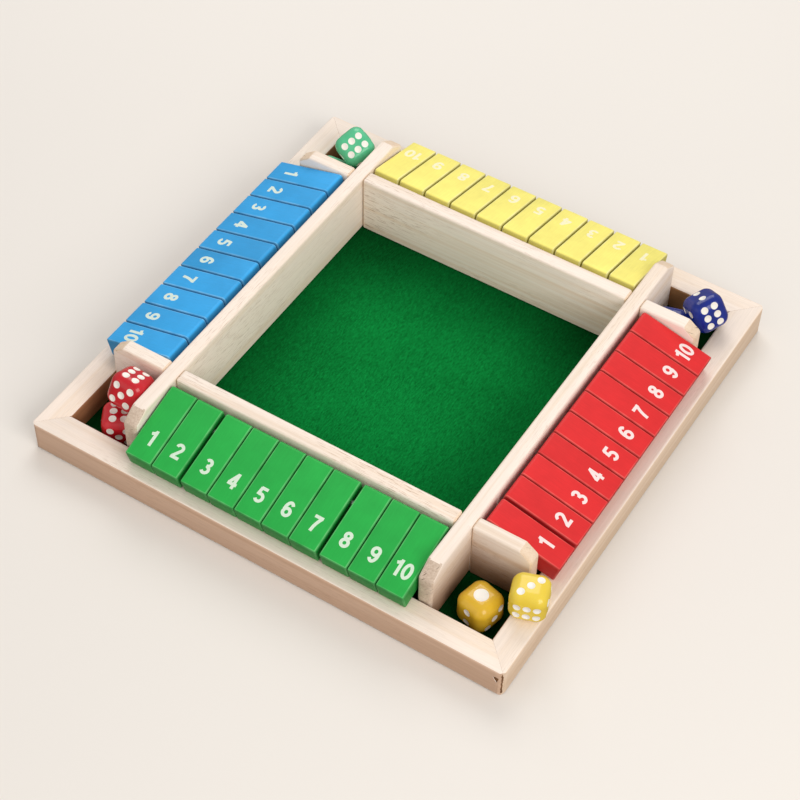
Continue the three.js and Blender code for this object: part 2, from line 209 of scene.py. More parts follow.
@dataclass(frozen=True)
class PineFinish(Finish):
    """Planed, sanded and unfinished pine: pale cream with faint straight growth lines and fine fibres."""

    grain: Along
    pale: str = "FCEFE4"
    tan: str = "E6CDAC"
    # The brown that the painted shade in the wells mixes toward.
    raw: str = "8E6440"
    pore_colour: str = "A07A58"
    band: float = 4.5
    band_length: float = 240.0
    fibre: float = 0.45
    fibre_length: float = 14.0
    blotch: float = 26.0
    blotch_length: float = 78.0
    pore: float = 0.3
    pore_length: float = 5.0
    pore_share: float = 0.25
    growth: Span = (0.46, 0.68, 0.0, 0.5)
    streaks: Span = (0.3, 0.75, 1.02, 0.92)
    clouds: Span = (0.3, 0.7, 0.96, 1.02)
    open_pores: Span = (0.56, 0.66, 0.0)
    pored_patches: Span = (0.42, 0.62)
    # Painted shade: low in the gutters, and high up in the front right well, the wood is mixed toward raw.
    gutter: Span = (71.3, 98.4)
    raw_height: Span = (4.0, 14.3)
    raw_share: float = 0.3
    well_edge: float = 70.0
    well_height: Span = (4.0, 38.0)
    well_share: float = 0.9
    roughness: float = 0.7
    specular: float = 0.25
    relief: Point = (0.12, 0.35)

    def rawness(self, add: Adder, place: NodeSocket) -> NodeSocket:
        """Find the painted shade: browner low in the gutters, most so in the front right well.

        Args:
            add: The add_node of the material's tree.
            place: The object coordinates, in metres.

        Returns:
            A share from 0 to raw_share in the gutters, or to well_share in the front right well.
        """
        x, y, z = add("ShaderNodeSeparateXYZ", (place,), None)
        out = middle_distance(add, x, y)
        past = add("ShaderNodeMath", (out, self.gutter[0] * MM), operation="GREATER_THAN")
        short = add("ShaderNodeMath", (out, self.gutter[1] * MM), operation="LESS_THAN")
        front = add("ShaderNodeMath", (y, -self.well_edge * MM), operation="LESS_THAN")
        right = add("ShaderNodeMath", (x, self.well_edge * MM), operation="GREATER_THAN")
        corner = add("ShaderNodeMath", (front, right), operation="MULTIPLY")
        shares = []
        for zone, (low, high), most in (
            (past, self.raw_height, self.raw_share),
            (corner, self.well_height, self.well_share),
        ):
            inside = add("ShaderNodeMath", (zone, short), operation="MULTIPLY")
            limits = (z, high * MM, low * MM, 0.0, most)
            depth = add("ShaderNodeMapRange", limits, interpolation_type="SMOOTHSTEP")
            shares.append(add("ShaderNodeMath", (inside, depth), operation="MULTIPLY"))
        return add("ShaderNodeMath", shares, operation="MAXIMUM")

    def surface(self, add: Adder) -> dict[str, Any]:
        """Lay growth lines, fibres, clouds, open pores and painted shade in the wells over each other.

        Args:
            add: The add_node of the material's tree.

        Returns:
            The surface's values and sockets by input.
        """
        place = add("ShaderNodeTexCoord", out="Object")
        turn = 0.0 if self.grain is Along.X else QUARTER
        turned = add("ShaderNodeMapping", {"Vector": place, "Rotation": (0.0, 0.0, turn)})
        bands, fibres, blotches, pores = (
            sized_noise(add, turned, (length, width, width), detail, rough)
            for length, width, detail, rough in (
                (self.band_length, self.band, 3.0, 0.55),
                (self.fibre_length, self.fibre, 3.0, 0.7),
                (self.blotch_length, self.blotch, 2.0, 0.5),
                (self.pore_length, self.pore, 2.0, 0.5),
            )
        )
        growth = add("ShaderNodeMapRange", (bands, *self.growth))
        body = add("ShaderNodeMix", {0: growth, A: linear(self.pale), B: linear(self.tan)}, **IN_COLOUR)
        streak = add("ShaderNodeMapRange", (fibres, *self.streaks))
        cloud = add("ShaderNodeMapRange", (blotches, *self.clouds))
        shade = add("ShaderNodeMath", (streak, cloud), operation="MULTIPLY")
        shaded = add("ShaderNodeVectorMath", {0: body, "Scale": shade}, operation="SCALE")
        opened = add("ShaderNodeMapRange", (pores, *self.open_pores, self.pore_share))
        patch = add("ShaderNodeMapRange", (blotches, *self.pored_patches))
        dashes = add("ShaderNodeMath", (opened, patch), operation="MULTIPLY")
        pored = add("ShaderNodeMix", {0: dashes, A: shaded, B: linear(self.pore_colour)}, **IN_COLOUR)
        # Painted shade: browner low in the wells, where shade falls.
        rawness = self.rawness(add, place)
        well_shaded_colour = add("ShaderNodeMix", {0: rawness, A: pored, B: linear(self.raw)}, **IN_COLOUR)
        return {
            "Base Color": well_shaded_colour,
            "Roughness": self.roughness,
            "Specular IOR Level": self.specular,
            "Height": fibres,
        }


@dataclass(frozen=True)
class EndGrainFinish(Finish):
    """Sawn end grain of pine: greyer and browner than the faces, mottled, with short slanting cracks."""

    across: Along
    pale: str
    dark: str
    crack: str = "5B4334"
    ring: float = 4.8
    speck: float = 0.7
    crack_length: float = 7.0
    crack_width: float = 0.5
    crack_lean: float = 42.0
    cracks: Span = (0.66, 0.74)
    mottle: Span = (0.65, 1.35)
    roughness: float = 0.85
    specular: float = 0.25
    relief: Point = (0.2, 0.5)

    def surface(self, add: Adder) -> dict[str, Any]:
        """Mottle the sawn ends with rings and specks, and open their cracks.

        Args:
            add: The add_node of the material's tree.

        Returns:
            The surface's values and sockets by input.
        """
        place = add("ShaderNodeTexCoord", out="Object")
        rings = sized_noise(add, place, self.ring, 4.0, 0.75)
        specks = sized_noise(add, place, self.speck, 2.0, 0.8)
        lean = math.radians(self.crack_lean)
        slant = (0.0, lean, 0.0) if self.across is Along.X else (lean, 0.0, 0.0)
        leaned = add("ShaderNodeMapping", {"Vector": place, "Rotation": slant})
        lines = sized_noise(add, leaned, (self.crack_length, self.crack_length, self.crack_width), 2.0)
        opened = add("ShaderNodeMapRange", (lines, *self.cracks))
        both = add("ShaderNodeMath", (rings, specks), operation="ADD")
        share = add("ShaderNodeMapRange", (both, *self.mottle))
        body = add("ShaderNodeMix", {0: share, A: linear(self.pale), B: linear(self.dark)}, **IN_COLOUR)
        cracked = add("ShaderNodeMix", {0: opened, A: body, B: linear(self.crack)}, **IN_COLOUR)
        return {
            "Base Color": cracked,
            "Roughness": self.roughness,
            "Specular IOR Level": self.specular,
            "Height": specks,
        }


@dataclass(frozen=True)
class FeltFinish(Finish):
    """Pressed wool felt: dark green, matt, with a nap of tangled fibres a third of a millimetre thick."""

    deep: str = "035A22"
    bright: str = "0D9041"
    fleck: str = "2FA85A"
    sheen: str = "1FA050"
    fibre: float = 0.32
    fibre_length: float = 1.3
    fibre_turns: Triple = (0.35, 1.4, 2.5)
    brushed: float = 0.4
    brushed_length: float = 1.8
    cloud: float = 40.0
    tangle_share: float = 0.6
    brushed_share: float = 0.45
    cloud_share: float = 0.14
    brightness: Span = (0.48, 0.78)
    strays: Span = (0.68, 0.8, 0.0, 0.35)
    tray_half: float = 65.0
    # Painted shade: the felt darkens by these shares toward the left, right, front and back walls.
    deepening: tuple[float, ...] = (0.42, 0.36, 0.08, 0.54)
    deep_reach: float = 42.0
    well_edge: float = 71.0
    # Painted shade in the wells.
    well_loss: float = 0.62
    roughness: float = 0.95
    specular: float = 0.03
    sheen_weight: float = 0.03
    sheen_roughness: float = 0.6
    relief: Point = (0.3, 0.6)

    def depth_of_pile(self, add: Adder, place: NodeSocket) -> NodeSocket:
        """Find the painted shade on the felt: darker along the walls and in the wells.

        Args:
            add: The add_node of the material's tree.
            place: The object coordinates, in metres.

        Returns:
            A share of 1 in the middle, less by deepening at left, right, front and back, and in the wells.
        """
        x, y, _ = add("ShaderNodeSeparateXYZ", (place,), None)
        out = middle_distance(add, x, y)
        past = add("ShaderNodeMath", (out, self.well_edge * MM), operation="GREATER_THAN")
        unshaded = add("ShaderNodeMapRange", (past, 0.0, 1.0, 1.0, 1.0 - self.well_loss))
        for axis, sign, loss in zip((x, x, y, y), (-1, 1, -1, 1), self.deepening):
            near, far = (sign * reach * MM for reach in (self.tray_half - self.deep_reach, self.tray_half))
            share = add("ShaderNodeMapRange", (axis, near, far, 1.0, 1.0 - loss))
            unshaded = add("ShaderNodeMath", (unshaded, share), operation="MULTIPLY")
        return unshaded

    def surface(self, add: Adder) -> dict[str, Any]:
        """Tangle and brush the fibres, which are drawn coarser than real ones, or they would not show.

        Args:
            add: The add_node of the material's tree.

        Returns:
            The surface's values and sockets by input.
        """
        place = add("ShaderNodeTexCoord", out="Object")
        layers = []
        for angle in self.fibre_turns:
            turned = add("ShaderNodeMapping", {"Vector": place, "Rotation": (0.0, 0.0, angle)})
            layers.append(sized_noise(add, turned, (self.fibre_length, self.fibre, self.fibre), 3.0, 0.7))
        strokes = sized_noise(add, place, (self.brushed, self.brushed_length, self.brushed), 2.0)
        pair = add("ShaderNodeMath", layers[:2], operation="MAXIMUM")
        tangle = add("ShaderNodeMath", (pair, layers[2]), operation="MAXIMUM")
        combed = add("ShaderNodeMath", (strokes, self.brushed_share), operation="MULTIPLY")
        nap = add("ShaderNodeMath", (tangle, self.tangle_share, combed), operation="MULTIPLY_ADD")
        cloud = sized_noise(add, place, self.cloud, 3.0)
        depth = add("ShaderNodeMath", (cloud, self.cloud_share, nap), operation="MULTIPLY_ADD")
        share = add("ShaderNodeMapRange", (depth, *self.brightness))
        body = add("ShaderNodeMix", {0: share, A: linear(self.deep), B: linear(self.bright)}, **IN_COLOUR)
        stray = add("ShaderNodeMapRange", (nap, *self.strays))
        flecked = add("ShaderNodeMix", {0: stray, A: body, B: linear(self.fleck)}, **IN_COLOUR)
        # Painted shade along the walls and in the wells.
        felt_shade = self.depth_of_pile(add, place)
        return {
            "Base Color": add("ShaderNodeVectorMath", {0: flecked, "Scale": felt_shade}, operation="SCALE"),
            "Roughness": self.roughness,
            "Specular IOR Level": self.specular,
            "Sheen Weight": self.sheen_weight,
            "Sheen Roughness": self.sheen_roughness,
            "Sheen Tint": linear(self.sheen),
            "Height": nap,
        }


@dataclass(frozen=True)
class PaintFinish(Finish):
    """Sprayed satin enamel on wood: even colour, faint fibres showing through, painted shade on its sides.

    Its rounded edges are paler, for thin paint and a painted highlight.
    """

    colour: str
    # The paler colour of the rounded edges: thin paint and a painted highlight.
    edge: str
    batch: float = 0.05
    # Painted shade: a tile's sides and ends take its colour times this.
    side: float = 0.62
    fibre: float = 0.5
    fibre_length: float = 9.0
    cloud: float = 7.143
    coat: float = 50.0
    streaks: Span = (0.3, 0.75, 1.03, 0.94)
    clouds: Span = (0.3, 0.7, 0.96, 1.04)
    coats: Span = (0.3, 0.7)
    upright: Span = (0.55, 0.9)
    rubbing: Span = (0.3, 0.6, 0.1, 0.42)
    roughness: float = 0.5
    specular: float = 0.28
    relief: Point = (0.08, 0.2)

    def surface(self, add: Adder) -> dict[str, Any]:
        """Spray the paint. Its pattern follows the tile's own UV map, which is in decimetres.

        Args:
            add: The add_node of the material's tree.

        Returns:
            The surface's values and sockets by input.
        """
        place = add("ShaderNodeUVMap", uv_map="tile")
        fibres, clouds, coats = (
            sized_noise(add, place, size, detail, rough, unit=100.0)
            for size, detail, rough in (
                ((self.fibre, self.fibre_length, self.fibre), 3.0, 0.6),
                (self.cloud, 2.0, 0.5),
                (self.coat, 0.0, 0.5),
            )
        )
        # Painted shade: faces that turn away from up and down are darker.
        facing = add("ShaderNodeTexCoord", out="Normal")
        upward = add("ShaderNodeMath", (add("ShaderNodeSeparateXYZ", (facing,), 2),), operation="ABSOLUTE")
        shade = 1.0
        for source, limits in (
            (fibres, self.streaks),
            (clouds, self.clouds),
            (coats, (*self.coats, 1 - self.batch, 1 + self.batch / 2)),
            (upward, (*self.upright, self.side, 1.0)),
        ):
            tone = add("ShaderNodeMapRange", (source, *limits))
            shade = add("ShaderNodeMath", (shade, tone), operation="MULTIPLY")
        # Paler rounded edges: thin worn paint and a painted highlight.
        thin = add("ShaderNodeAttribute", out="Fac", attribute_name="worn_and_highlight_edge")
        worn_and_highlight_patches = add("ShaderNodeMapRange", (clouds, *self.rubbing))
        worn_and_highlight = add("ShaderNodeMath", (thin, worn_and_highlight_patches), operation="MULTIPLY")
        body = add("ShaderNodeMix", {0: worn_and_highlight, A: linear(self.colour), B: linear(self.edge)}, **IN_COLOUR)
        return {
            "Base Color": add("ShaderNodeVectorMath", {0: body, "Scale": shade}, operation="SCALE"),
            "Roughness": self.roughness,
            "Specular IOR Level": self.specular,
            "Height": fibres,
        }


@dataclass(frozen=True)
class PrintFinish(Finish):
    """Pad-printed white ink: a thin, slightly uneven film that lets a little of the paint through."""

    colour: str
    grit: float = 0.6667
    cover: Span = (0.35, 0.8, 1.0, 0.9)
    roughness: float = 0.5

    def surface(self, add: Adder) -> dict[str, Any]:
        """Print the ink.

        Args:
            add: The add_node of the material's tree.

        Returns:
            The surface's values and sockets by input.
        """
        place = add("ShaderNodeTexCoord", out="Object")
        thin = add("ShaderNodeMapRange", (sized_noise(add, place, self.grit, 2.0), *self.cover))
        body = add("ShaderNodeVectorMath", {0: linear(self.colour)[:3], "Scale": thin}, operation="SCALE")
        return {"Base Color": body, "Roughness": self.roughness}


@dataclass(frozen=True)
class ResinFinish(Finish):
    """Polished acrylic resin, a little milky, with white paint in the drilled pips."""

    colour: str
    pale: str
    glow: str
    pip_paint: str = "F6F4EE"
    swirl: float = 6.25
    scuff: float = 1.4286
    pip_rim: Span = (0.07, -0.07)
    milk: float = 0.05
    milk_depth: float = 2.0
    refraction: float = 1.49
    roughness: float = 0.2
    pip_roughness: float = 0.5
    relief: Point = (0.1, 0.04)

    def surface(self, add: Adder) -> dict[str, Any]:
        """Cast the resin. The attribute pip is the distance past the nearest pip's rim, in millimetres.

        Args:
            add: The add_node of the material's tree.

        Returns:
            The surface's values and sockets by input.
        """
        place = add("ShaderNodeTexCoord", out="Object")
        swirl = sized_noise(add, place, self.swirl, 2.0)
        body = add("ShaderNodeMix", {0: swirl, A: linear(self.colour), B: linear(self.pale)}, **IN_COLOUR)
        past = add("ShaderNodeAttribute", out="Fac", attribute_name="pip")
        inside = add("ShaderNodeMapRange", (past, *self.pip_rim))
        scuffs = sized_noise(add, place, self.scuff, 2.0)
        return {
            "Base Color": add("ShaderNodeMix", {0: inside, A: body, B: linear(self.pip_paint)}, **IN_COLOUR),
            "Roughness": add("ShaderNodeMapRange", (inside, 0.0, 1.0, self.roughness, self.pip_roughness)),
            "IOR": self.refraction,
            "Subsurface Weight": self.milk,
            "Subsurface Radius": linear(self.glow)[:3],
            "Subsurface Scale": self.milk_depth * MM,
            "Height": scuffs,
        }


@dataclass(frozen=True)
class SteelFinish(Finish):
    """Drawn bright steel wire: fine lines along the rod, drawn coarser than real ones so that they show."""

    colour: str = "C9CACC"
    line: float = 0.48
    polish: Span = (0.0, 1.0, 0.18, 0.36)
    relief: Point = (0.05, 0.08)

    def surface(self, add: Adder) -> dict[str, Any]:
        """Draw the wire.

        Args:
            add: The add_node of the material's tree.

        Returns:
            The surface's values and sockets by input.
        """
        lines = sized_noise(add, add("ShaderNodeTexCoord", out="Object"), self.line, 3.0)
        return {
            "Base Color": linear(self.colour),
            "Metallic": 1.0,
            "Roughness": add("ShaderNodeMapRange", (lines, *self.polish)),
            "Height": lines,
        }


@dataclass(frozen=True)
class GlueFinish(Finish):
    """Dried wood glue and sanding dust in an open mitre: dull brown."""

    colour: str = "5E3D22"
    dust: str = "8A623C"
    lump: float = 1.1111
    lumps: Span = (0.35, 0.65)
    roughness: float = 0.8

    def surface(self, add: Adder) -> dict[str, Any]:
        """Lump the dried glue and the dust together.

        Args:
            add: The add_node of the material's tree.

        Returns:
            The surface's values and sockets by input.
        """
        lumps = sized_noise(add, add("ShaderNodeTexCoord", out="Object"), self.lump, 3.0)
        share = add("ShaderNodeMapRange", (lumps, *self.lumps))
        body = add("ShaderNodeMix", {0: share, A: linear(self.colour), B: linear(self.dust)}, **IN_COLOUR)
        return {"Base Color": body, "Roughness": self.roughness}


@dataclass(frozen=True)
class PaperFinish(Finish):
    """Matt studio paper: pale for the camera, and a warm grey in the light that it throws on the game."""

    shade: str = "E9E6E2"
    pale: str = "EDEAE6"
    thrown: str = "94877A"
    cloud: float = 333.33
    roughness: float = 0.9

    def surface(self, add: Adder) -> dict[str, Any]:
        """Tone the paper.

        Args:
            add: The add_node of the material's tree.

        Returns:
            The surface's values and sockets by input.
        """
        clouds = sized_noise(add, add("ShaderNodeTexCoord", out="Object"), self.cloud, 2.0)
        body = add("ShaderNodeMix", {0: clouds, A: linear(self.shade), B: linear(self.pale)}, **IN_COLOUR)
        seen = add("ShaderNodeLightPath", out="Is Camera Ray")
        shown = add("ShaderNodeMix", {0: seen, A: linear(self.thrown), B: body}, **IN_COLOUR)
        return {"Base Color": shown, "Roughness": self.roughness}


# Mesh helpers


def link_piece(name: str, data: bpy.types.ID) -> Object:
    """Put a mesh, curve, camera or lamp into the scene.

    Args:
        name: The object's name.
        data: What it shows.

    Returns:
        The object, at the origin.
    """
    piece = bpy.data.objects.new(name, data)
    bpy.context.scene.collection.objects.link(piece)
    return piece


def to_piece(name: str, solid: bmesh.types.BMesh) -> Object:
    """Turn a solid into an object.

    Args:
        name: The object's name.
        solid: The solid, which is freed.

    Returns:
        The object, in the scene and at the origin.
    """
    mesh = bpy.data.meshes.new(name)
    solid.to_mesh(mesh)
    solid.free()
    return link_piece(name, mesh)


def evaluated_mesh(piece: Object) -> Mesh:
    """Give the mesh that a piece's modifiers make.

    Args:
        piece: A mesh or curve object.

    Returns:
        A new plain mesh.
    """
    graph = bpy.context.evaluated_depsgraph_get()
    graph.update()
    made = piece.evaluated_get(graph)
    return bpy.data.meshes.new_from_object(made, preserve_all_data_layers=True, depsgraph=graph)


def bake_modifiers(piece: Object) -> None:
    """Turn what a piece's modifiers give into its plain mesh, and take the modifiers off.

    Args:
        piece: The mesh object.
    """
    mesh = evaluated_mesh(piece)
    piece.modifiers.clear()
    piece.data = mesh


def cut_with(piece: Object, tool: Object, keep: Keep = Keep.OUTSIDE) -> None:
    """Cut a piece with a tool by a boolean, then remove the tool.

    Args:
        piece: The object that is cut.
        tool: The closed object that cuts it.
        keep: Which part is left.
    """
    modifier = piece.modifiers.new("cut", "BOOLEAN")
    modifier.operation = keep.value
    modifier.solver = "EXACT"
    modifier.object = tool
    bake_modifiers(piece)
    bpy.data.objects.remove(tool)


def smooth_by_angle(mesh: Mesh, degrees: float = 32.0) -> None:
    """Shade a mesh smooth, with sharp edges where it turns by more than an angle."""
    mesh.shade_smooth()
    mesh.set_sharp_from_angle(angle=math.radians(degrees))


def arc(centre: Point, radii: Point, start: float, end: float, steps: int = 20) -> list[Point]:
    """Give points along part of an ellipse.

    Args:
        centre: Its middle.
        radii: Its radius across and up.
        start: The first point's angle in degrees.
        end: The last point's angle.
        steps: Steps between them.

    Returns:
        The points, one more than the steps.
    """
    angles = [math.radians(start + (end - start) * i / steps) for i in range(steps + 1)]
    return [(centre[0] + radii[0] * math.cos(a), centre[1] + radii[1] * math.sin(a)) for a in angles]


def loft(solid: bmesh.types.BMesh, rings: Iterable[Iterable[Sequence[float]]]) -> list[bmesh.types.BMFace]:
    """Join rings of points into a closed body.

    Args:
        solid: The mesh that gets the body.
        rings: Its sections in order, each with as many points.

    Returns:
        Its two end faces.
    """
    loops = [[solid.verts.new(Vector(point) * MM) for point in ring] for ring in rings]
    caps = [solid.faces.new(loops[0]), solid.faces.new(loops[-1][::-1])]
    count = len(loops[0])
    for low, high in zip(loops, loops[1:]):
        for i in range(count):
            j = (i + 1) % count
            solid.faces.new((low[i], high[i], high[j], low[j]))
    bmesh.ops.recalc_face_normals(solid, faces=solid.faces)
    return caps


def ease_edges(solid: bmesh.types.BMesh, edges: Iterable[Any], size: float, steps: int) -> list[Any]:
    """Round edges.

    Args:
        solid: The mesh.
        edges: The edges that are rounded.
        size: Their radius.
        steps: Facets round each.

    Returns:
        The faces of the rounding.
    """
    settings = {"segments": steps, "profile": 0.5, "affect": "EDGES", "clamp_overlap": True}
    return bmesh.ops.bevel(solid, geom=list(edges), offset=size * MM, **settings)["faces"]


def bore_tool(radius: float, length: float, place: Sequence[float], way: Along, sides: int = 32) -> Object:
    """Make a cylinder that cuts a bore.

    Args:
        radius: Its radius.
        length: Its length.
        place: Its middle.
        way: The way it runs.
        sides: Facets round it.

    Returns:
        The tool.
    """
    solid = bmesh.new()
    turn = Matrix.Rotation(QUARTER, 4, "Y" if way is Along.X else "X")
    sizes = {"radius1": radius * MM, "radius2": radius * MM, "depth": length * MM, "segments": sides}
    matrix = Matrix.Translation(Vector(place) * MM) @ turn
    bmesh.ops.create_cone(solid, cap_ends=True, matrix=matrix, **sizes)
    return to_piece("bore_tool", solid)


def start_tree(name: str, given: dict[str, str], made: str) -> tuple[NodeTree, Adder, Any]:
    """Start a geometry tree.

    Args:
        name: The tree's name.
        given: The kind of each of its inputs, by name.
        made: The name of the geometry that it makes.

    Returns:
        The tree, its add_node and its inputs as sockets.
    """
    tree = bpy.data.node_groups.new(name, "GeometryNodeTree")
    for label, kind in given.items():
        tree.interface.new_socket(label, in_out="INPUT", socket_type=f"NodeSocket{kind}")
    tree.interface.new_socket(made, in_out="OUTPUT", socket_type="NodeSocketGeometry")
    add = partial(add_node, tree)
    return tree, add, add("NodeGroupInput", out=None)


def add_modifier(piece: Object, tree: NodeTree, values: dict[str, Any]) -> None:
    """Put a geometry tree on a piece.

    Args:
        piece: The piece, whose own data is the tree's first input.
        tree: The tree.
        values: Values of the tree's other inputs by name.
    """
    modifier = piece.modifiers.new(tree.name, "NODES")
    modifier.node_group = tree
    for item in tree.interface.items_tree:
        if item.in_out == "INPUT" and item.name in values:
            modifier[item.identifier] = values[item.name]


def dress(piece: Object, body: str, node: str = "", finishes: Sequence[Material] = ()) -> None:
    """Put a piece on its body and in its CAD node's place, and report it.

    Args:
        piece: The piece.
        body: The body that it rides on.
        node: The CAD node that it stands for, if any.
        finishes: Its materials, where its mesh doesn't have them yet.
    """
    if finishes:
        piece.data.materials.clear()
    for finish in finishes:
        piece.data.materials.append(finish)
    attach(piece, body)
    if node:
        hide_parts(node)
    LOG.info("%s rides on %s, %d faces", piece.name, body, len(piece.data.polygons))


# Sub-assemblies


@dataclass
class Tray:
    """The mitred frame: four rails with a rebate below, glued at the corners."""

    inner: float = 98.0
    outer: float = 110.0
    height: float = 14.7
    ease: float = 1.3
    corner_radius: float = 3.4
    rebate_width: float = 6.0
    rebate_height: float = 2.6
    side_turn: float = 0.6
    joint: float = 0.01
    joint_ease: float = 0.045
    corner_steps: int = 8
    ease_steps: int = 4
    glue_width: float = 0.18
    glue_inset: float = 0.5
    glue_top: float = 0.15
    glue_foot: float = 0.55
    glue_under: float = 0.1
    seam_steps: int = 22
    seam_widths: Point = (0.12, 0.5)
    seam_depths: Point = (-0.3, 0.03)
    seam_seed: int = 5
    dent: Point = (107.0, 9.8)
    dent_size: float = 1.8
    dent_depth: float = 0.6
    dent_glue: Point = (0.8, 0.25)
    dent_outline: tuple[Point, ...] = (
        (-0.9, 0.5), (-0.2, 0.9), (0.5, 0.6), (0.35, -0.2), (0.1, -1.1), (-0.3, -0.5)
    )

    def section(self) -> list[Point]:
        """Draw the rail's section with its edges rounded.

        Returns:
            Its corners as distance from the middle and height.
        """
        points = [(self.inner, self.rebate_height), (self.inner + self.rebate_width, self.rebate_height)]
        points.append((self.inner + self.rebate_width, 0.0))
        near, far = self.inner + self.ease, self.outer - self.ease
        low, high = self.ease, self.height - self.ease
        for centre, start in (((far, low), -90.0), ((far, high), 0.0), ((near, high), 90.0)):
            points += arc(centre, (self.ease, self.ease), start, start + 90.0, self.ease_steps)
        return points

    def corner_tool(self) -> Object:
        """Make a prism with the tray's rounded corners.

        Returns:
            The tool that trims the rails.
        """
        flat, radii = self.outer - self.corner_radius, (self.corner_radius, self.corner_radius)
        ring = []
        for k, (x, y) in enumerate(((flat, -flat), (flat, flat), (-flat, flat), (-flat, -flat))):
            ring += arc((x, y), radii, 90.0 * k - 90.0, 90.0 * k, self.corner_steps)
        solid = bmesh.new()
        loft(solid, [[(x, y, z) for x, y in ring] for z in (-OVERSHOOT, self.height + OVERSHOOT)])
        return to_piece("corner_tool", solid)

    def dent_prism(self, solid: bmesh.types.BMesh, deep: float, shallow: float) -> None:
        """Add a prism at the dent in the front rail's side.

        Args:
            solid: The mesh that gets it.
            deep: How far its inner end lies under the rail's side.
            shallow: How far its outer end lies under it.
        """
        across, up = self.dent
        outline = [(across + self.dent_size * a, up + self.dent_size * b) for a, b in self.dent_outline]
        loft(solid, [[(x, under - self.outer, z) for x, z in outline] for under in (deep, shallow)])

    def rail(self, name: str, turn: int, finishes: Sequence[Material]) -> None:
        """Make one mitred rail.

        Args:
            name: The piece's name.
            turn: Quarter turns from the front rail.
            finishes: Planed pine on top, painted shade on the outer side, brown with painted shade inside.
        """
        solid = bmesh.new()
        section = self.section()
        caps = loft(solid, [[(side * (r - self.joint), -r, z) for r, z in section] for side in (-1, 1)])
        ease_edges(solid, [edge for cap in caps for edge in cap.edges], self.joint_ease, 2)
        spin = Matrix.Rotation(turn * QUARTER, 3, "Z")
        bmesh.ops.rotate(solid, matrix=spin, verts=solid.verts)
        piece = to_piece(name, solid)
        cut_with(piece, self.corner_tool(), Keep.INSIDE)
        if turn == 0:
            pit = bmesh.new()
            self.dent_prism(pit, self.dent_depth, -OVERSHOOT)
            cut_with(piece, to_piece("dent_tool", pit))
        dress(piece, "frame", "outer_frame", finishes)
        # Outer sides get slot 1, pine with painted shade; inner faces get slot 2, brown pine with painted
        # shade.
        away = spin @ Vector((0, -1, 0))
        for face in piece.data.polygons:
            facing = face.normal.dot(away)
            face.material_index = 1 if facing > self.side_turn else 2 if facing < -self.side_turn else 0
        smooth_by_angle(piece.data)

    def squeezed_glue(self, solid: bmesh.types.BMesh) -> None:
        """Add the ragged line of glue that was squeezed out down the front right corner.

        Args:
            solid: The mesh that gets it.
        """
        chance = random.Random(self.seam_seed)
        centre = self.outer - self.corner_radius
        under, over = (self.corner_radius + depth for depth in self.seam_depths)
        rings = []
        for step in range(self.seam_steps + 1):
            z = self.ease + (self.height - 2 * self.ease) * step / self.seam_steps
            widths = [sign * chance.uniform(*self.seam_widths) / self.corner_radius for sign in (-1, 1)]
            left, right = (width - QUARTER / 2 for width in widths)
            corners = ((under, left), (over, left), (over, right), (under, right))
            rings.append([(centre + r * math.cos(a), r * math.sin(a) - centre, z) for r, a in corners])
        loft(solid, rings)

    def glue(self, finish: Material) -> None:
        """Fill the four mitres with thin seams of glue that end just under the wood, squeezed out at one.

        Args:
            finish: The dried glue.
        """
        solid = bmesh.new()
        diagonal = math.sqrt(2)
        start = self.inner * diagonal + self.glue_inset
        end = self.outer * diagonal - self.corner_radius * (diagonal - 1) - self.glue_under
        low, high = self.glue_foot, self.height - self.glue_top
        middle = Vector((start + end, 0, low + high)) / 2 * MM
        size = Vector((end - start, self.glue_width, high - low)) * MM
        seam = Matrix.Translation(middle) @ Matrix.Diagonal((*size, 1.0))
        for k in range(4):
            turn = Matrix.Rotation(QUARTER * (k + 0.5), 4, "Z")
            bmesh.ops.create_cube(solid, size=1.0, matrix=turn @ seam)
        self.squeezed_glue(solid)
        self.dent_prism(solid, *self.dent_glue)
        dress(to_piece("mitre_glue", solid), "frame", finishes=[finish])

    def build(self, along_x: Sequence[Material], along_y: Sequence[Material], glue: Material) -> None:
        """Make the four rails and their glue lines.

        Args:
            along_x: Planed pine, pine with painted shade and brown pine with painted shade, for the front and
                back rails.
            along_y: The same for the right and left rails.
            glue: The dried glue in the mitres.
        """
        for turn, name in enumerate(("front_rail", "right_rail", "back_rail", "left_rail")):
            self.rail(name, turn, along_y if turn % 2 else along_x)
        self.glue(glue)


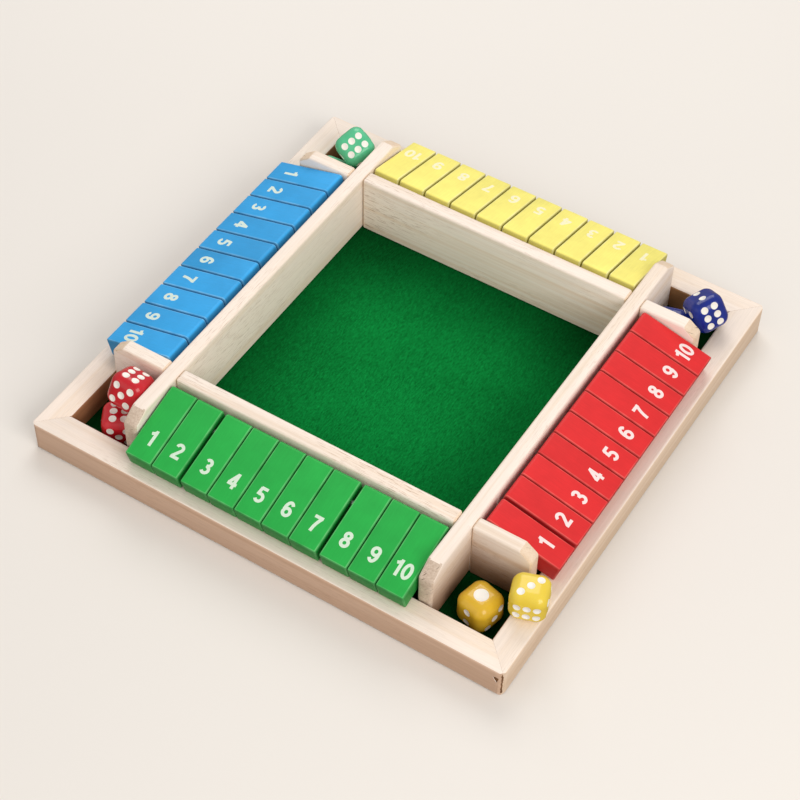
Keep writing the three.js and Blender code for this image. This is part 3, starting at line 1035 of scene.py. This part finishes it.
@dataclass
class Boards:
    """The upright boards: two partitions, two walls between them and four dividers."""

    floor: float = 3.4
    top: float = 32.5
    play: float = 65.0
    gutter: float = 71.5
    reach: float = 97.7
    butt_gap: float = 0.2
    root_gap: float = 0.04
    ease: float = 1.15
    ease_steps: int = 4
    end_turn: float = 0.33
    cut: Point = (7.2, 4.5)
    divider_inner: float = 64.0
    divider_thickness: float = 6.2
    divider_cut: Point = (5.5, 4.1)
    rod_line: float = 80.72
    rod_height: float = 25.9
    socket_radius: float = 1.8
    socket_depth: float = 3.0

    def plank(
        self, name: str, outline: Sequence[Point], span: Point, grain: Along, sockets: Sequence[Point]
    ) -> Object:
        """Make a board with eased edges, its ends marked as end grain, and bore its rod sockets.

        Args:
            name: The piece's name.
            outline: Corners of its face as distance along the board and height.
            span: Its two faces, as positions across the board.
            grain: The way the board runs.
            sockets: The middle of each socket's mouth, as X and Y.

        Returns:
            The board, with material 0 for its long grain and 1 for its end grain.
        """
        solid = bmesh.new()
        flat = grain is Along.X
        loft(solid, [[(a, across, z) if flat else (across, a, z) for a, z in outline] for across in span])
        ease_edges(solid, solid.edges, self.ease, self.ease_steps)
        for face in solid.faces:
            face.normal_update()
            face.material_index = 1 if abs(face.normal[0 if flat else 1]) > self.end_turn else 0
        piece = to_piece(name, solid)
        for x, y in sockets:
            place, way = (x, y, self.rod_height), Along.Y if flat else Along.X
            cut_with(piece, bore_tool(self.socket_radius, 2 * self.socket_depth, place, way))
        return piece

    def fit(self, piece: Object, finishes: Sequence[Material], node: str) -> None:
        """Give a board its long grain and end grain and put it in a node's place.

        Args:
            piece: The board.
            finishes: Long grain, then end grain, then the end grain of the back end where it differs.
            node: The CAD node that it stands for.
        """
        faces = piece.data.polygons
        slots = [face.material_index for face in faces]
        if len(finishes) > 2:
            slots = [2 if slot and face.center.y > 0 else slot for slot, face in zip(slots, faces)]
        dress(piece, "frame", node, finishes)
        piece.data.polygons.foreach_set("material_index", slots)
        smooth_by_angle(piece.data)

    def partition(self, name: str, side: int) -> Object:
        """Make a full-length partition with both top corners cut off.

        Args:
            name: The piece's name.
            side: -1 for the left one, 1 for the right one.

        Returns:
            The partition.
        """
        end, (length, depth) = self.reach, self.cut
        right = [(end, self.floor), (end, self.top - depth), (end - length, self.top)]
        outline = [(-end, self.floor), *right, (length - end, self.top), (-end, self.top - depth)]
        sockets = [(side * self.play, sign * self.rod_line) for sign in (-1, 1)]
        return self.plank(name, outline, (side * self.play, side * self.gutter), Along.Y, sockets)

    def divider(self, name: str, side: int, end: int) -> Object:
        """Make a short divider that butts on a partition, its outer top corner cut off.

        Args:
            name: The piece's name.
            side: -1 left, 1 right.
            end: -1 front, 1 back.

        Returns:
            The divider.
        """
        root, tip = side * (self.gutter + self.root_gap), side * self.reach
        length, depth = self.divider_cut
        outline = [(root, self.floor), (tip, self.floor), (tip, self.top - depth)]
        outline += [(tip - side * length, self.top), (root, self.top)]
        near, far = end * self.divider_inner, end * (self.divider_inner + self.divider_thickness)
        return self.plank(name, outline, (near, far), Along.X, [(side * self.rod_line, near)])

    def wall(self, name: str, side: int) -> Object:
        """Make a wall of the play area.

        Args:
            name: The piece's name.
            side: -1 for the front one, 1 for the back one.

        Returns:
            The wall.
        """
        end = self.play - self.butt_gap
        outline = [(-end, self.floor), (end, self.floor), (end, self.top), (-end, self.top)]
        return self.plank(name, outline, (side * self.play, side * self.gutter), Along.X, [])

    def build(self, along_x: Sequence[Material], along_y: Sequence[Material]) -> None:
        """Make all the boards.

        Args:
            along_x: Long grain and end grain of boards that run along X.
            along_y: The same for boards that run along Y, and the end grain of their back ends.
        """
        for side, hand in ((-1, "left"), (1, "right")):
            node = f"{hand}_partition"
            self.fit(self.partition(f"{hand}_partition_board", side), along_y, node)
            for sign, end in ((-1, "front"), (1, "back")):
                self.fit(self.divider(f"{end}_{hand}_divider", side, sign), along_x, node)
        for side, hand in ((-1, "front"), (1, "back")):
            self.fit(self.wall(f"{hand}_wall_board", side), along_x, f"{hand}_wall")


@dataclass
class FeltLining:
    """The felt glued to the base panel."""

    half: float = 97.7
    low: float = 2.6
    high: float = 3.4
    cells: int = 120
    unevenness: float = 0.05
    seed: int = 7

    def build(self, finish: Material) -> None:
        """Make the felt as a thin closed sheet whose top is not quite even, and lay it in the tray.

        Args:
            finish: The felt.
        """
        chance = random.Random(self.seed)
        solid = bmesh.new()
        bmesh.ops.create_grid(solid, x_segments=self.cells, y_segments=self.cells, size=self.half * MM)
        rim = [edge for edge in solid.edges if edge.is_boundary]
        border = {vert for edge in rim for vert in edge.verts}
        for vert in solid.verts:
            dip = 0.0 if vert in border else chance.uniform(0.0, self.unevenness)
            vert.co.z = (self.high - dip) * MM
        grown = bmesh.ops.extrude_edge_only(solid, edges=rim)["geom"]
        for vert in (item for item in grown if isinstance(item, bmesh.types.BMVert)):
            vert.co.z = self.low * MM
        bmesh.ops.holes_fill(solid, edges=[item for item in grown if isinstance(item, bmesh.types.BMEdge)])
        bmesh.ops.recalc_face_normals(solid, faces=solid.faces)
        piece = to_piece("felt_lining", solid)
        smooth_by_angle(piece.data)
        dress(piece, "frame", "felt_sheet", [finish])


class Numerals:
    """Bold upright numerals drawn as strokes, in a box of height 1 whose left edge is at 0."""

    STROKE = 0.19
    SPACE = 0.12
    RING_POINTS = 24

    @classmethod
    def ring(cls, x: float, y: float, across: float, up: float) -> Stroke:
        """Draw a closed oval, whose last point is a step short of its first."""
        steps = cls.RING_POINTS - 1
        return True, arc((x, y), (across, up), 0, 360 * steps / cls.RING_POINTS, steps)

    @classmethod
    def digit(cls, value: int) -> tuple[list[Stroke], float]:
        """Draw one digit.

        Args:
            value: 0 to 9.

        Returns:
            Its strokes, each with whether it is closed, and its width.
        """
        pen = cls.STROKE / 2
        top = 1 - pen
        bar = [(0.03, top), (0.57, top)]
        if value == 0:
            return [cls.ring(0.3, 0.5, 0.3 - pen, top - 0.5)], 0.6
        if value == 1:
            lines, width = ([(0.31, 0.0), (0.31, 1.0)], [(0.3, 0.875), (0.2, 0.79), (0.05, 0.73)]), 0.4
        elif value == 2:
            hook = arc((0.29, 0.705), (0.2, 0.2), 170, -30)
            lines, width = ([*hook, (0.12, 0.13)], [(0.03, pen), (0.57, pen)]), 0.58
        elif value == 3:
            upper = arc((0.27, 0.725), (0.175, 0.18), 150, -80)
            lower = arc((0.27, 0.3), (0.205, 0.205), 85, -150)
            lines, width = (upper, lower, [(0.22, 0.525), (0.32, 0.525)]), 0.57
        elif value == 4:
            lines = ([(0.42, 0.0), (0.42, 1.0)], [(0.02, 0.29), (0.6, 0.29)], [(0.09, 0.3), (0.4, 0.91)])
            width = 0.6
        elif value == 5:
            bowl = arc((0.28, 0.325), (0.21, 0.23), 125, -150)
            lines, width = ([(0.12, top), (0.54, top)], [(0.17, 0.93), (0.115, 0.46)], bowl), 0.58
        elif value == 7:
            stem = [(0.5, 0.9), (0.41, 0.74), (0.32, 0.52), (0.26, 0.28), (0.23, 0.0)]
            lines, width = (bar, stem), 0.6
        elif value == 8:
            return [cls.ring(0.3, 0.735, 0.17, 0.17), cls.ring(0.3, 0.3, 0.205, 0.205)], 0.6
        else:
            six = [cls.ring(0.3, 0.315, 0.205, 0.22), (False, arc((0.31, 0.5), (0.215, 0.405), 190, 38))]
            if value == 9:
                six = [(closed, [(0.6 - x, 1 - y) for x, y in points]) for closed, points in six]
            return six, 0.6
        return [(False, line) for line in lines], width

    @classmethod
    def number(cls, value: int) -> tuple[list[Stroke], float]:
        """Draw a number of one or two digits side by side.

        Args:
            value: 0 to 99.

        Returns:
            Its strokes and its whole width.
        """
        strokes: list[Stroke] = []
        start = 0.0
        for letter in str(value):
            drawn, width = cls.digit(int(letter))
            strokes += [(closed, [(x + start, y) for x, y in points]) for closed, points in drawn]
            start += width + cls.SPACE
        return strokes, start - cls.SPACE


@dataclass
class Tiles:
    """Forty flip tiles: a bored and eased blank, a printed number, and a row for each player."""

    count: int = 10
    width: float = 12.2
    thickness: float = 8.8
    reach: float = 25.62
    setback: float = 8.0
    nose: float = 1.5
    ease: float = 0.65
    bore: float = 1.8
    bore_spare: float = 4.0
    bore_sides: int = 24
    nose_steps: int = 8
    ease_steps: int = 3
    rod_line: float = 80.72
    rod_height: float = 25.9
    rest_line: float = 104.3
    rest_height: float = 15.0
    sharp: float = 40.0
    number_height: float = 7.0
    number_spot: float = 0.695
    ink: float = 0.03
    ink_step: float = 0.003
    edge_lean: float = 0.4
    along_shift: float = 0.37
    tile_shift: float = 1.7
    row_shift: float = 23.1

    def blank(self) -> Object:
        """Make one tile.

        Returns:
            The tile in its own frame: the rod's axis along X, the outer end at -Y, the nose at +Y.
        """
        half, end = self.thickness / 2, -self.reach
        outline = [(end, half), (end, -half)]
        for z, start in ((self.nose - half, -90.0), (half - self.nose, 0.0)):
            centre, radii = (self.setback - self.nose, z), (self.nose, self.nose)
            outline += arc(centre, radii, start, start + 90.0, self.nose_steps)
        solid = bmesh.new()
        caps = loft(solid, [[(side * self.width / 2, y, z) for y, z in outline] for side in (-1, 1)])
        rim = {edge for cap in caps for edge in cap.edges}
        foot = {vert for vert in solid.verts if abs(vert.co.y - end * MM) < HAIR}
        edges = [edge for edge in solid.edges if edge in rim or foot.issuperset(edge.verts)]
        # Marks the rounded edges for paler paint: thin worn paint and a painted highlight.
        thin = solid.faces.layers.float.new("worn_and_highlight_edge")
        for face in ease_edges(solid, edges, self.ease, self.ease_steps):
            face[thin] = 1.0
        piece = to_piece("tile_blank", solid)
        length = self.width + self.bore_spare
        cut_with(piece, bore_tool(self.bore, length, (0, 0, 0), Along.X, self.bore_sides))
        smooth_by_angle(piece.data, self.sharp)
        return piece

    def number(self, value: int, tree: NodeTree, ink: Material) -> Object:
        """Make a printed number that lies on the blank's top face.

        Args:
            value: The number, 1 to 10.
            tree: The tree that turns strokes into ink.
            ink: The ink.

        Returns:
            The number as a thin mesh in the tile's own frame.
        """
        strokes, width = Numerals.number(value)
        tall = self.number_height
        centre = self.setback - self.number_spot * (self.setback + self.reach)
        curve = bpy.data.curves.new(f"number_{value}", "CURVE")
        curve.dimensions = "3D"
        for layer, (closed, points) in enumerate(strokes):
            spline = curve.splines.new("POLY")
            spline.points.add(len(points) - 1)
            spline.use_cyclic_u = closed
            height = self.thickness / 2 + self.ink_step * layer
            for target, (x, y) in zip(spline.points, points):
                spot = Vector(((x - width / 2) * tall, (y - 0.5) * tall + centre, height)) * MM
                target.co = (*spot, 1.0)
        holder = link_piece(f"number_{value}", curve)
        stroke, film = Numerals.STROKE * tall * MM, 2 * self.ink * MM
        add_modifier(holder, tree, {"Width": stroke, "Film": film, "Ink": ink})
        mesh = evaluated_mesh(holder)
        bpy.data.objects.remove(holder)
        return link_piece(f"number_{value}", mesh)

    def ink_tree(self) -> NodeTree:
        """Build the node tree that lays a flat band of ink along the strokes of a numeral.

        Returns:
            The tree.
        """
        kinds = {"Strokes": "Geometry", "Width": "Float", "Film": "Float", "Ink": "Material"}
        tree, add, given = start_tree("print_strokes", kinds, "Print")
        upright = add("GeometryNodeSetCurveNormal", {"Curve": given["Strokes"]}, mode="Z_UP")
        sizes = {"Width": given["Width"], "Height": given["Film"]}
        band = {"Profile Curve": add("GeometryNodeCurvePrimitiveQuadrilateral", sizes), "Fill Caps": True}
        solid = add("GeometryNodeCurveToMesh", {"Curve": upright} | band)
        flat = add("GeometryNodeSetShadeSmooth", {"Geometry": solid, "Shade Smooth": False})
        inked = add("GeometryNodeSetMaterial", {"Geometry": flat, "Material": given["Ink"]})
        add("NodeGroupOutput", (inked,), None)
        return tree

    def hanging_tree(self) -> NodeTree:
        """Build the node tree that hangs one tile of a row, and its number, at its station on the rod.

        Returns:
            The tree.
        """
        kinds = {"Stations": "Geometry", "Blank": "Object", "Number": "Object", "Tile": "Int"}
        kinds |= {"Hang": "Vector", "Paint": "Material", "Ink": "Material"}
        tree, add, given = start_tree("hang_tile", kinds, "Tile Mesh")
        index = add("GeometryNodeInputIndex")
        chosen = add("FunctionNodeCompare", {2: index, 3: given["Tile"]}, data_type="INT", operation="EQUAL")
        parts = []
        for source, finish in (("Blank", "Paint"), ("Number", "Ink")):
            shape = add("GeometryNodeObjectInfo", {"Object": given[source]}, "Geometry")
            spot = {"Points": given["Stations"], "Selection": chosen, "Instance": shape}
            hung = add("GeometryNodeInstanceOnPoints", spot | {"Rotation": given["Hang"]})
            real = add("GeometryNodeRealizeInstances", {"Geometry": hung})
            parts.append(add("GeometryNodeSetMaterial", {"Geometry": real, "Material": given[finish]}))
        joined = add("GeometryNodeJoinGeometry")
        for part in reversed(parts):
            tree.links.new(part, joined.node.inputs[0])
        add("NodeGroupOutput", (joined,), None)
        return tree

    def lay_uv(self, mesh: Mesh, matrix: Matrix, shift: float) -> None:
        """Give a tile its UV map: across and along the tile, in decimetres, moved so that no two look alike.

        Args:
            mesh: The tile's mesh, in place.
            matrix: The tile's place, from its own frame.
            shift: How far its pattern is moved.
        """
        layer = mesh.uv_layers.new(name="tile")
        back = matrix.inverted()
        for loop in mesh.loops:
            own = back @ mesh.vertices[loop.vertex_index].co
            across = (own.x + own.z) / DECIMETRE
            along = (own.y + self.edge_lean * own.z) / DECIMETRE
            layer.data[loop.index].uv = (across + shift, along + self.along_shift * shift)

    def row(self, colour: str, turn: int, slope: float, tree: NodeTree, given: dict[str, Any]) -> None:
        """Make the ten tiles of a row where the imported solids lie.

        Args:
            colour: The row's colour, as in the names of its nodes.
            turn: Quarter turns from the front row.
            slope: The tiles' slope at rest, in radians.
            tree: The tree that hangs a tile.
            given: The blank, the paint and the ink by the tree's names, and the numbers.
        """
        spin = Matrix.Rotation(turn * QUARTER, 4, "Z")
        line = spin @ Vector((0, -self.rod_line * MM, self.rod_height * MM))
        nodes = [f"{colour}_tile_{number:02d}" for number in range(1, self.count + 1)]
        points = []
        for node in nodes:
            low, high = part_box(node)
            middle = (low + high) / 2
            points.append((line.x, middle.y, line.z) if turn % 2 else (middle.x, line.y, line.z))
        stations = bpy.data.meshes.new(f"{colour}_stations")
        stations.from_pydata(points, [], [])
        hang = {"Blank": given["Blank"], "Paint": given["Paint"], "Ink": given["Ink"]}
        hang["Hang"] = (slope, 0.0, turn * QUARTER)
        for i, (node, point) in enumerate(zip(nodes, points)):
            piece = link_piece(f"{node}_painted", stations)
            add_modifier(piece, tree, hang | {"Tile": i, "Number": given["Numbers"][i]})
            bake_modifiers(piece)
            place = Matrix.Translation(point) @ spin @ Matrix.Rotation(slope, 4, "X")
            self.lay_uv(piece.data, place, self.tile_shift * i + self.row_shift * turn)
            dress(piece, node, node)

    def build(self, paints: dict[str, Material], inks: dict[str, Material]) -> None:
        """Make all four rows.

        Args:
            paints: The paint of each row, by colour, from the front row on.
            inks: The ink of each row's numbers, by colour.
        """
        drop, out = self.rod_height - self.rest_height, self.rest_line - self.rod_line
        slope = math.atan2(drop, out) - math.atan2(self.thickness / 2, self.reach)
        hang, stroke = self.hanging_tree(), self.ink_tree()
        numbers = [self.number(value, stroke, inks["green"]) for value in range(1, self.count + 1)]
        blank = self.blank()
        for turn, (colour, paint) in enumerate(paints.items()):
            given = {"Blank": blank, "Numbers": numbers, "Paint": paint, "Ink": inks[colour]}
            self.row(colour, turn, slope, hang, given)
        for helper in (blank, *numbers):
            bpy.data.objects.remove(helper)
        LOG.info("tiles slope %.1f degrees", math.degrees(slope))


@dataclass
class Dice:
    """Eight resin dice with drilled and painted pips. Their turns are yaw, pitch and roll in degrees."""

    size: float = 15.0
    corner: float = 4.4
    grid: int = 60
    pip_radius: float = 1.55
    ace_radius: float = 2.9
    pip_depth: float = 0.55
    pip_places: tuple[float, ...] = (0.22, 0.2, 0.153, 0.26)
    turns: dict[str, Triple] = field(
        default_factory=lambda: {
            "yellow_die_in_well": (-14.0, 0.0, 0.0),
            "yellow_die_on_rail": (-70.7, 0.0, -90.0),
            "red_die_lower": (-148.9, 0.0, 180.0),
            "red_die_upper": (-177.4, 25.1, 172.5),
            "green_die_lower": (4.0, 0.0, 0.0),
            "green_die_upper": (-26.5, 24.4, -146.9),
            "blue_die_lower": (17.0, 0.0, 0.0),
            "blue_die_upper": (-97.1, -57.5, -150.8),
        }
    )

    def pips(self) -> tuple[list[Vector], list[float]]:
        """Lay out the pips: one faces +Z, two -Y, three +X.

        Returns:
            Each pip's centre on its face, and its radius.
        """
        half = self.size / 2
        step, pair, column, rank = (share * self.size for share in self.pip_places)
        square = [(u, v) for u in (-step, step) for v in (-step, step)]
        spots = [(0, 0, half)]
        spots += [(0, -half, v) for v in (-pair, pair)]
        spots += [(half, v, v) for v in (-step, 0.0, step)]
        spots += [(-half, u, v) for u, v in square]
        spots += [(u, half, v) for u, v in (*square, (0.0, 0.0))]
        spots += [(u, v, -half) for u in (-column, column) for v in (-rank, 0.0, rank)]
        return [Vector(spot) for spot in spots], [self.ace_radius] + [self.pip_radius] * (len(spots) - 1)

    def die_tree(self) -> NodeTree:
        """Build the node tree of a die: a cube rounded by rule, sunk in a bowl at each pip point.

        Returns:
            The tree.
        """
        kinds = {"Pips": "Geometry", "Size": "Float", "Corner": "Float", "Depth": "Float"}
        tree, add, given = start_tree("rounded_die", kinds | {"Grid": "Int", "Resin": "Material"}, "Die")
        side = add("ShaderNodeCombineXYZ", [given["Size"]] * 3)
        cube = add("GeometryNodeMeshCube", (side, *[given["Grid"]] * 3))
        half = add("ShaderNodeMath", (given["Size"], 0.5), operation="MULTIPLY")
        core = add("ShaderNodeMath", (half, given["Corner"]), operation="SUBTRACT")
        top = add("ShaderNodeCombineXYZ", [core] * 3)
        low = add("ShaderNodeVectorMath", {0: top, "Scale": -1.0}, operation="SCALE")
        spot = add("GeometryNodeInputPosition")
        capped = add("ShaderNodeVectorMath", (spot, top), operation="MINIMUM")
        inner = add("ShaderNodeVectorMath", (capped, low), operation="MAXIMUM")
        away = add("ShaderNodeVectorMath", (spot, inner), operation="SUBTRACT")
        way = add("ShaderNodeVectorMath", (away,), operation="NORMALIZE")
        arm = add("ShaderNodeVectorMath", {0: way, "Scale": given["Corner"]}, operation="SCALE")
        skin = add("ShaderNodeVectorMath", (inner, arm), operation="ADD")
        rounded = add("GeometryNodeSetPosition", {"Geometry": cube, "Position": skin})
        nearest = add("GeometryNodeSampleNearest", {"Geometry": given["Pips"]}, domain="POINT")
        named = add("GeometryNodeInputNamedAttribute", {"Name": "radius"}, data_type="FLOAT")
        radius, centre = (
            add(
                "GeometryNodeSampleIndex",
                {"Geometry": given["Pips"], "Value": value, "Index": nearest},
                data_type=kind,
                domain="POINT",
            )
            for value, kind in ((named, "FLOAT"), (spot, "FLOAT_VECTOR"))
        )
        gap = add("ShaderNodeVectorMath", (spot, centre), "Value", operation="DISTANCE")
        past = add("ShaderNodeMath", (gap, radius), operation="SUBTRACT")
        past_mm = add("ShaderNodeMath", (past, 1 / MM), operation="MULTIPLY")
        mark = {"Geometry": rounded, "Name": "pip", "Value": past_mm}
        marked = add("GeometryNodeStoreNamedAttribute", mark, data_type="FLOAT", domain="POINT")
        share = add("ShaderNodeMath", (gap, radius), operation="DIVIDE")
        squared = add("ShaderNodeMath", (share, share), operation="MULTIPLY")
        bowl = add("ShaderNodeMath", (1.0, squared), operation="SUBTRACT", use_clamp=True)
        sink = add("ShaderNodeMath", (bowl, given["Depth"]), operation="MULTIPLY")
        down = add("ShaderNodeVectorMath", {0: way, "Scale": -1.0}, operation="SCALE")
        push = add("ShaderNodeVectorMath", {0: down, "Scale": sink}, operation="SCALE")
        dimpled = add("GeometryNodeSetPosition", {"Geometry": marked, "Offset": push})
        smooth = add("GeometryNodeSetShadeSmooth", {"Geometry": dimpled})
        cast = add("GeometryNodeSetMaterial", {"Geometry": smooth, "Material": given["Resin"]})
        add("NodeGroupOutput", (cast,), None)
        return tree

    def build(self, resins: dict[str, Material]) -> None:
        """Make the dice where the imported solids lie.

        Args:
            resins: The resin of each pair by colour, and of a die that differs from its pair by node.
        """
        tree = self.die_tree()
        spots, radii = self.pips()
        shape = {"Size": self.size * MM, "Corner": self.corner * MM, "Depth": self.pip_depth * MM}
        shape["Grid"] = self.grid
        for node, (yaw, pitch, roll) in self.turns.items():
            colour = node.split("_")[0]
            points = bpy.data.meshes.new(f"{node}_pips")
            points.from_pydata([tuple(spot * MM) for spot in spots], [], [])
            attribute = points.attributes.new("radius", "FLOAT", "POINT")
            attribute.data.foreach_set("value", [radius * MM for radius in radii])
            piece = link_piece(f"{node}_cast", points)
            add_modifier(piece, tree, shape | {"Resin": resins.get(node, resins[colour])})
            bake_modifiers(piece)
            low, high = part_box(node)
            place = Matrix.Translation((low + high) / 2)
            for angle, axis in ((yaw, "Z"), (pitch, "X"), (roll, "Y")):
                place = place @ Matrix.Rotation(math.radians(angle), 4, axis)
            piece.data.transform(place)
            dress(piece, node, node)


@dataclass
class Studio:
    """The photographer's side: camera, soft lamps and a pale floor. Lamps are in metres and watts."""

    focal_px: float = 2002.85
    frame_px: float = 800.0
    sensor: float = 36.0
    clip: Point = (50.0, 20000.0)
    azimuth: float = -31.13
    elevation: float = 49.71
    roll: float = 1.46
    distance: float = 832.32
    target: Triple = (1.51, -8.45, 0.0)
    floor_half: float = 4000.0
    floor_cells: int = 4
    floor_gap: float = 0.05
    sky: str = "F7F5F2"
    sky_strength: float = 0.53
    lamps: Sequence[tuple[str, Triple, float, float, str]] = (
        ("side", (0.98, -0.42, 0.8), 0.8, 9.2, "FFF9F2"),
        ("back", (-0.34, 0.58, 0.75), 0.6, 3.7, "FFFAF5"),
        ("fill", (-0.2, -0.9, 0.5), 1.0, 1.5, "FFF1E6"),
    )

    def camera(self) -> None:
        """Place the camera where the photograph was taken from."""
        azimuth, elevation, roll = (math.radians(a) for a in (self.azimuth, self.elevation, self.roll))
        level = math.cos(elevation)
        ahead = Vector((math.sin(azimuth) * level, math.cos(azimuth) * level, -math.sin(elevation)))
        right = Vector((math.cos(azimuth), -math.sin(azimuth), 0.0))
        up = right.cross(ahead)
        rolled_right = math.cos(roll) * right + math.sin(roll) * up
        rolled_up = -math.sin(roll) * right + math.cos(roll) * up
        place = (Vector(self.target) - ahead * self.distance) * MM
        data = bpy.data.cameras.new("camera")
        data.sensor_width = self.sensor
        data.lens = self.focal_px / self.frame_px * self.sensor
        data.clip_start, data.clip_end = (distance * MM for distance in self.clip)
        camera = link_piece("camera", data)
        turn = Matrix((rolled_right, rolled_up, -ahead)).transposed().to_4x4()
        camera.matrix_world = Matrix.Translation(place) @ turn
        bpy.context.scene.camera = camera

    def lamp(self, name: str, place: Triple, size: float, power: float, colour: str) -> None:
        """Hang a square soft lamp that faces the tray.

        Args:
            name: The lamp's name.
            place: Where it hangs, in metres.
            size: Its side, in metres.
            power: Its power, in watts.
            colour: Its colour as sRGB hex.
        """
        data = bpy.data.lights.new(name, "AREA")
        data.shape = "SQUARE"
        data.size = size
        data.energy = power
        data.color = linear(colour)[:3]
        lamp = link_piece(name, data)
        lamp.location = place
        lamp.rotation_euler = (-Vector(place)).to_track_quat("-Z", "Y").to_euler()

    def floor(self) -> None:
        """Lay a wide pale floor just under the tray."""
        solid = bmesh.new()
        level = Matrix.Translation((0.0, 0.0, -self.floor_gap * MM))
        cells = {"x_segments": self.floor_cells, "y_segments": self.floor_cells}
        bmesh.ops.create_grid(solid, size=self.floor_half * MM, matrix=level, **cells)
        floor = to_piece("floor", solid)
        floor.data.materials.append(PaperFinish("matt_paper").build())

    def build(self) -> None:
        """Set up the camera, the lamps, the world and the floor."""
        self.camera()
        for lamp in self.lamps:
            self.lamp(*lamp)
        world = bpy.data.worlds.new("studio")
        world.use_nodes = True
        background = world.node_tree.nodes["Background"]
        background.inputs["Color"].default_value = linear(self.sky)
        background.inputs["Strength"].default_value = self.sky_strength
        bpy.context.scene.world = world
        bpy.context.scene.view_settings.view_transform = "Standard"
        self.floor()
        LOG.info("studio: camera, %d lamps, pale floor", len(self.lamps))


def dress_nodes(frame: dict[str, Any], finishes: dict[str, Material]) -> None:
    """Give the CAD nodes that stay in view their finishes.

    Args:
        finishes: A material for each node's name.
    """
    for node, finish in finishes.items():
        mesh = frame["nodes"][node].data
        mesh.materials.clear()
        mesh.materials.append(finish)
        LOG.info("%s stays in view, in %s", node, finish.name)


def main() -> None:
    """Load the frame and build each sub-assembly in order."""
    logging.basicConfig(level=logging.INFO, format="%(name)s: %(message)s")
    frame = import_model()
    Studio().build()

    rails = []
    for grain, darker, raw in (
        (Along.X, ("E6C6AE", "D2AC8C"), ("A67A50", "855A38")),
        (Along.Y, ("F4DEC8", "E0C2A2"), ("A67552", "85573A")),
    ):
        way = grain.value
        top = PineFinish(f"planed_pine_rail_{way}", grain, tan="EFD9C0", band=5.5, well_share=0.0)
        # Painted shade: the outer sides are darker and warmer than the tops.
        side = PineFinish(f"pine_side_with_painted_shade_{way}", grain, *darker, band=3.5, well_share=0.0)
        # The inner faces are brown wood, darkened further as painted shade.
        inside = PineFinish(f"brown_pine_inside_with_painted_shade_{way}", grain, *raw, band=3.5)
        rails.append([top.build(), side.build(), inside.build()])
    Tray().build(*rails, GlueFinish("dried_glue").build())
    board_x = PineFinish("planed_pine_board_x", Along.X, "FFF3E8", "E4C5A2", band=3.4, pore_share=0.6).build()
    board_y = PineFinish("planed_pine_board_y", Along.Y, "FEF1E6", "ECD4B6", pore_share=0.35).build()
    end_x = EndGrainFinish("planed_end_grain_x", Along.Y, "F4E2CE", "E2C8AC").build()
    # A darker end grain, which the partitions' front ends take; their back ends take the lighter one.
    end_y = EndGrainFinish("darker_end_grain_y", Along.X, "E8D8C8", "BFA894").build()
    Boards().build((board_x, end_x), (board_y, end_y, end_x))
    FeltLining().build(FeltFinish("pressed_wool_felt").build())

    paints, inks = {}, {}
    # Each row's second colour is its paler edge: thin paint and a painted highlight.
    for colour, paint, edge, batch, ink in (
        ("green", "25B04A", "86DC92", 0.05, "D9F0DC"),
        ("red", "E02D30", "FF8078", 0.05, "F8E6E6"),
        ("yellow", "FFF583", "FFFCD0", 0.05, "FFFBD2"),
        ("blue", "36AAF0", "A0DCFF", 0.12, "DFF3EA"),
    ):
        paints[colour] = PaintFinish(f"{colour}_enamel", paint, edge, batch).build()
        inks[colour] = PrintFinish(f"white_ink_on_{colour}", ink).build()
    Tiles().build(paints, inks)
    resins = {
        # The die in the well gets a darker golden copy of the yellow resin: painted shade. The die on the
        # rail has the plain lemon yellow.
        "yellow": ResinFinish("yellow_resin_with_painted_shade", "D2A61E", "E4BE3C", "FFB040").build(),
        "yellow_die_on_rail": ResinFinish("lemon_resin_cast", "E6C732", "F2DA58", "FFE060").build(),
        "red": ResinFinish("red_resin_cast", "B81020", "D22432", "FF4040").build(),
        "green": ResinFinish("green_resin_cast", "38B47E", "70D4A6", "60FFA0").build(),
        "blue": ResinFinish("blue_resin_cast", "0A1B64", "1530A0", "4060FF").build(),
    }
    Dice().build(resins)

    steel = SteelFinish("drawn_steel").build()
    panel = PineFinish("base_plywood", Along.X, "E4CDA8", "C9A679", band=9.0).build()
    rods = {f"{side}_pivot_rod": steel for side in ("front", "right", "back", "left")}
    dress_nodes(frame, {"base_panel": panel, **rods})


if __name__ == "__main__":
    main()
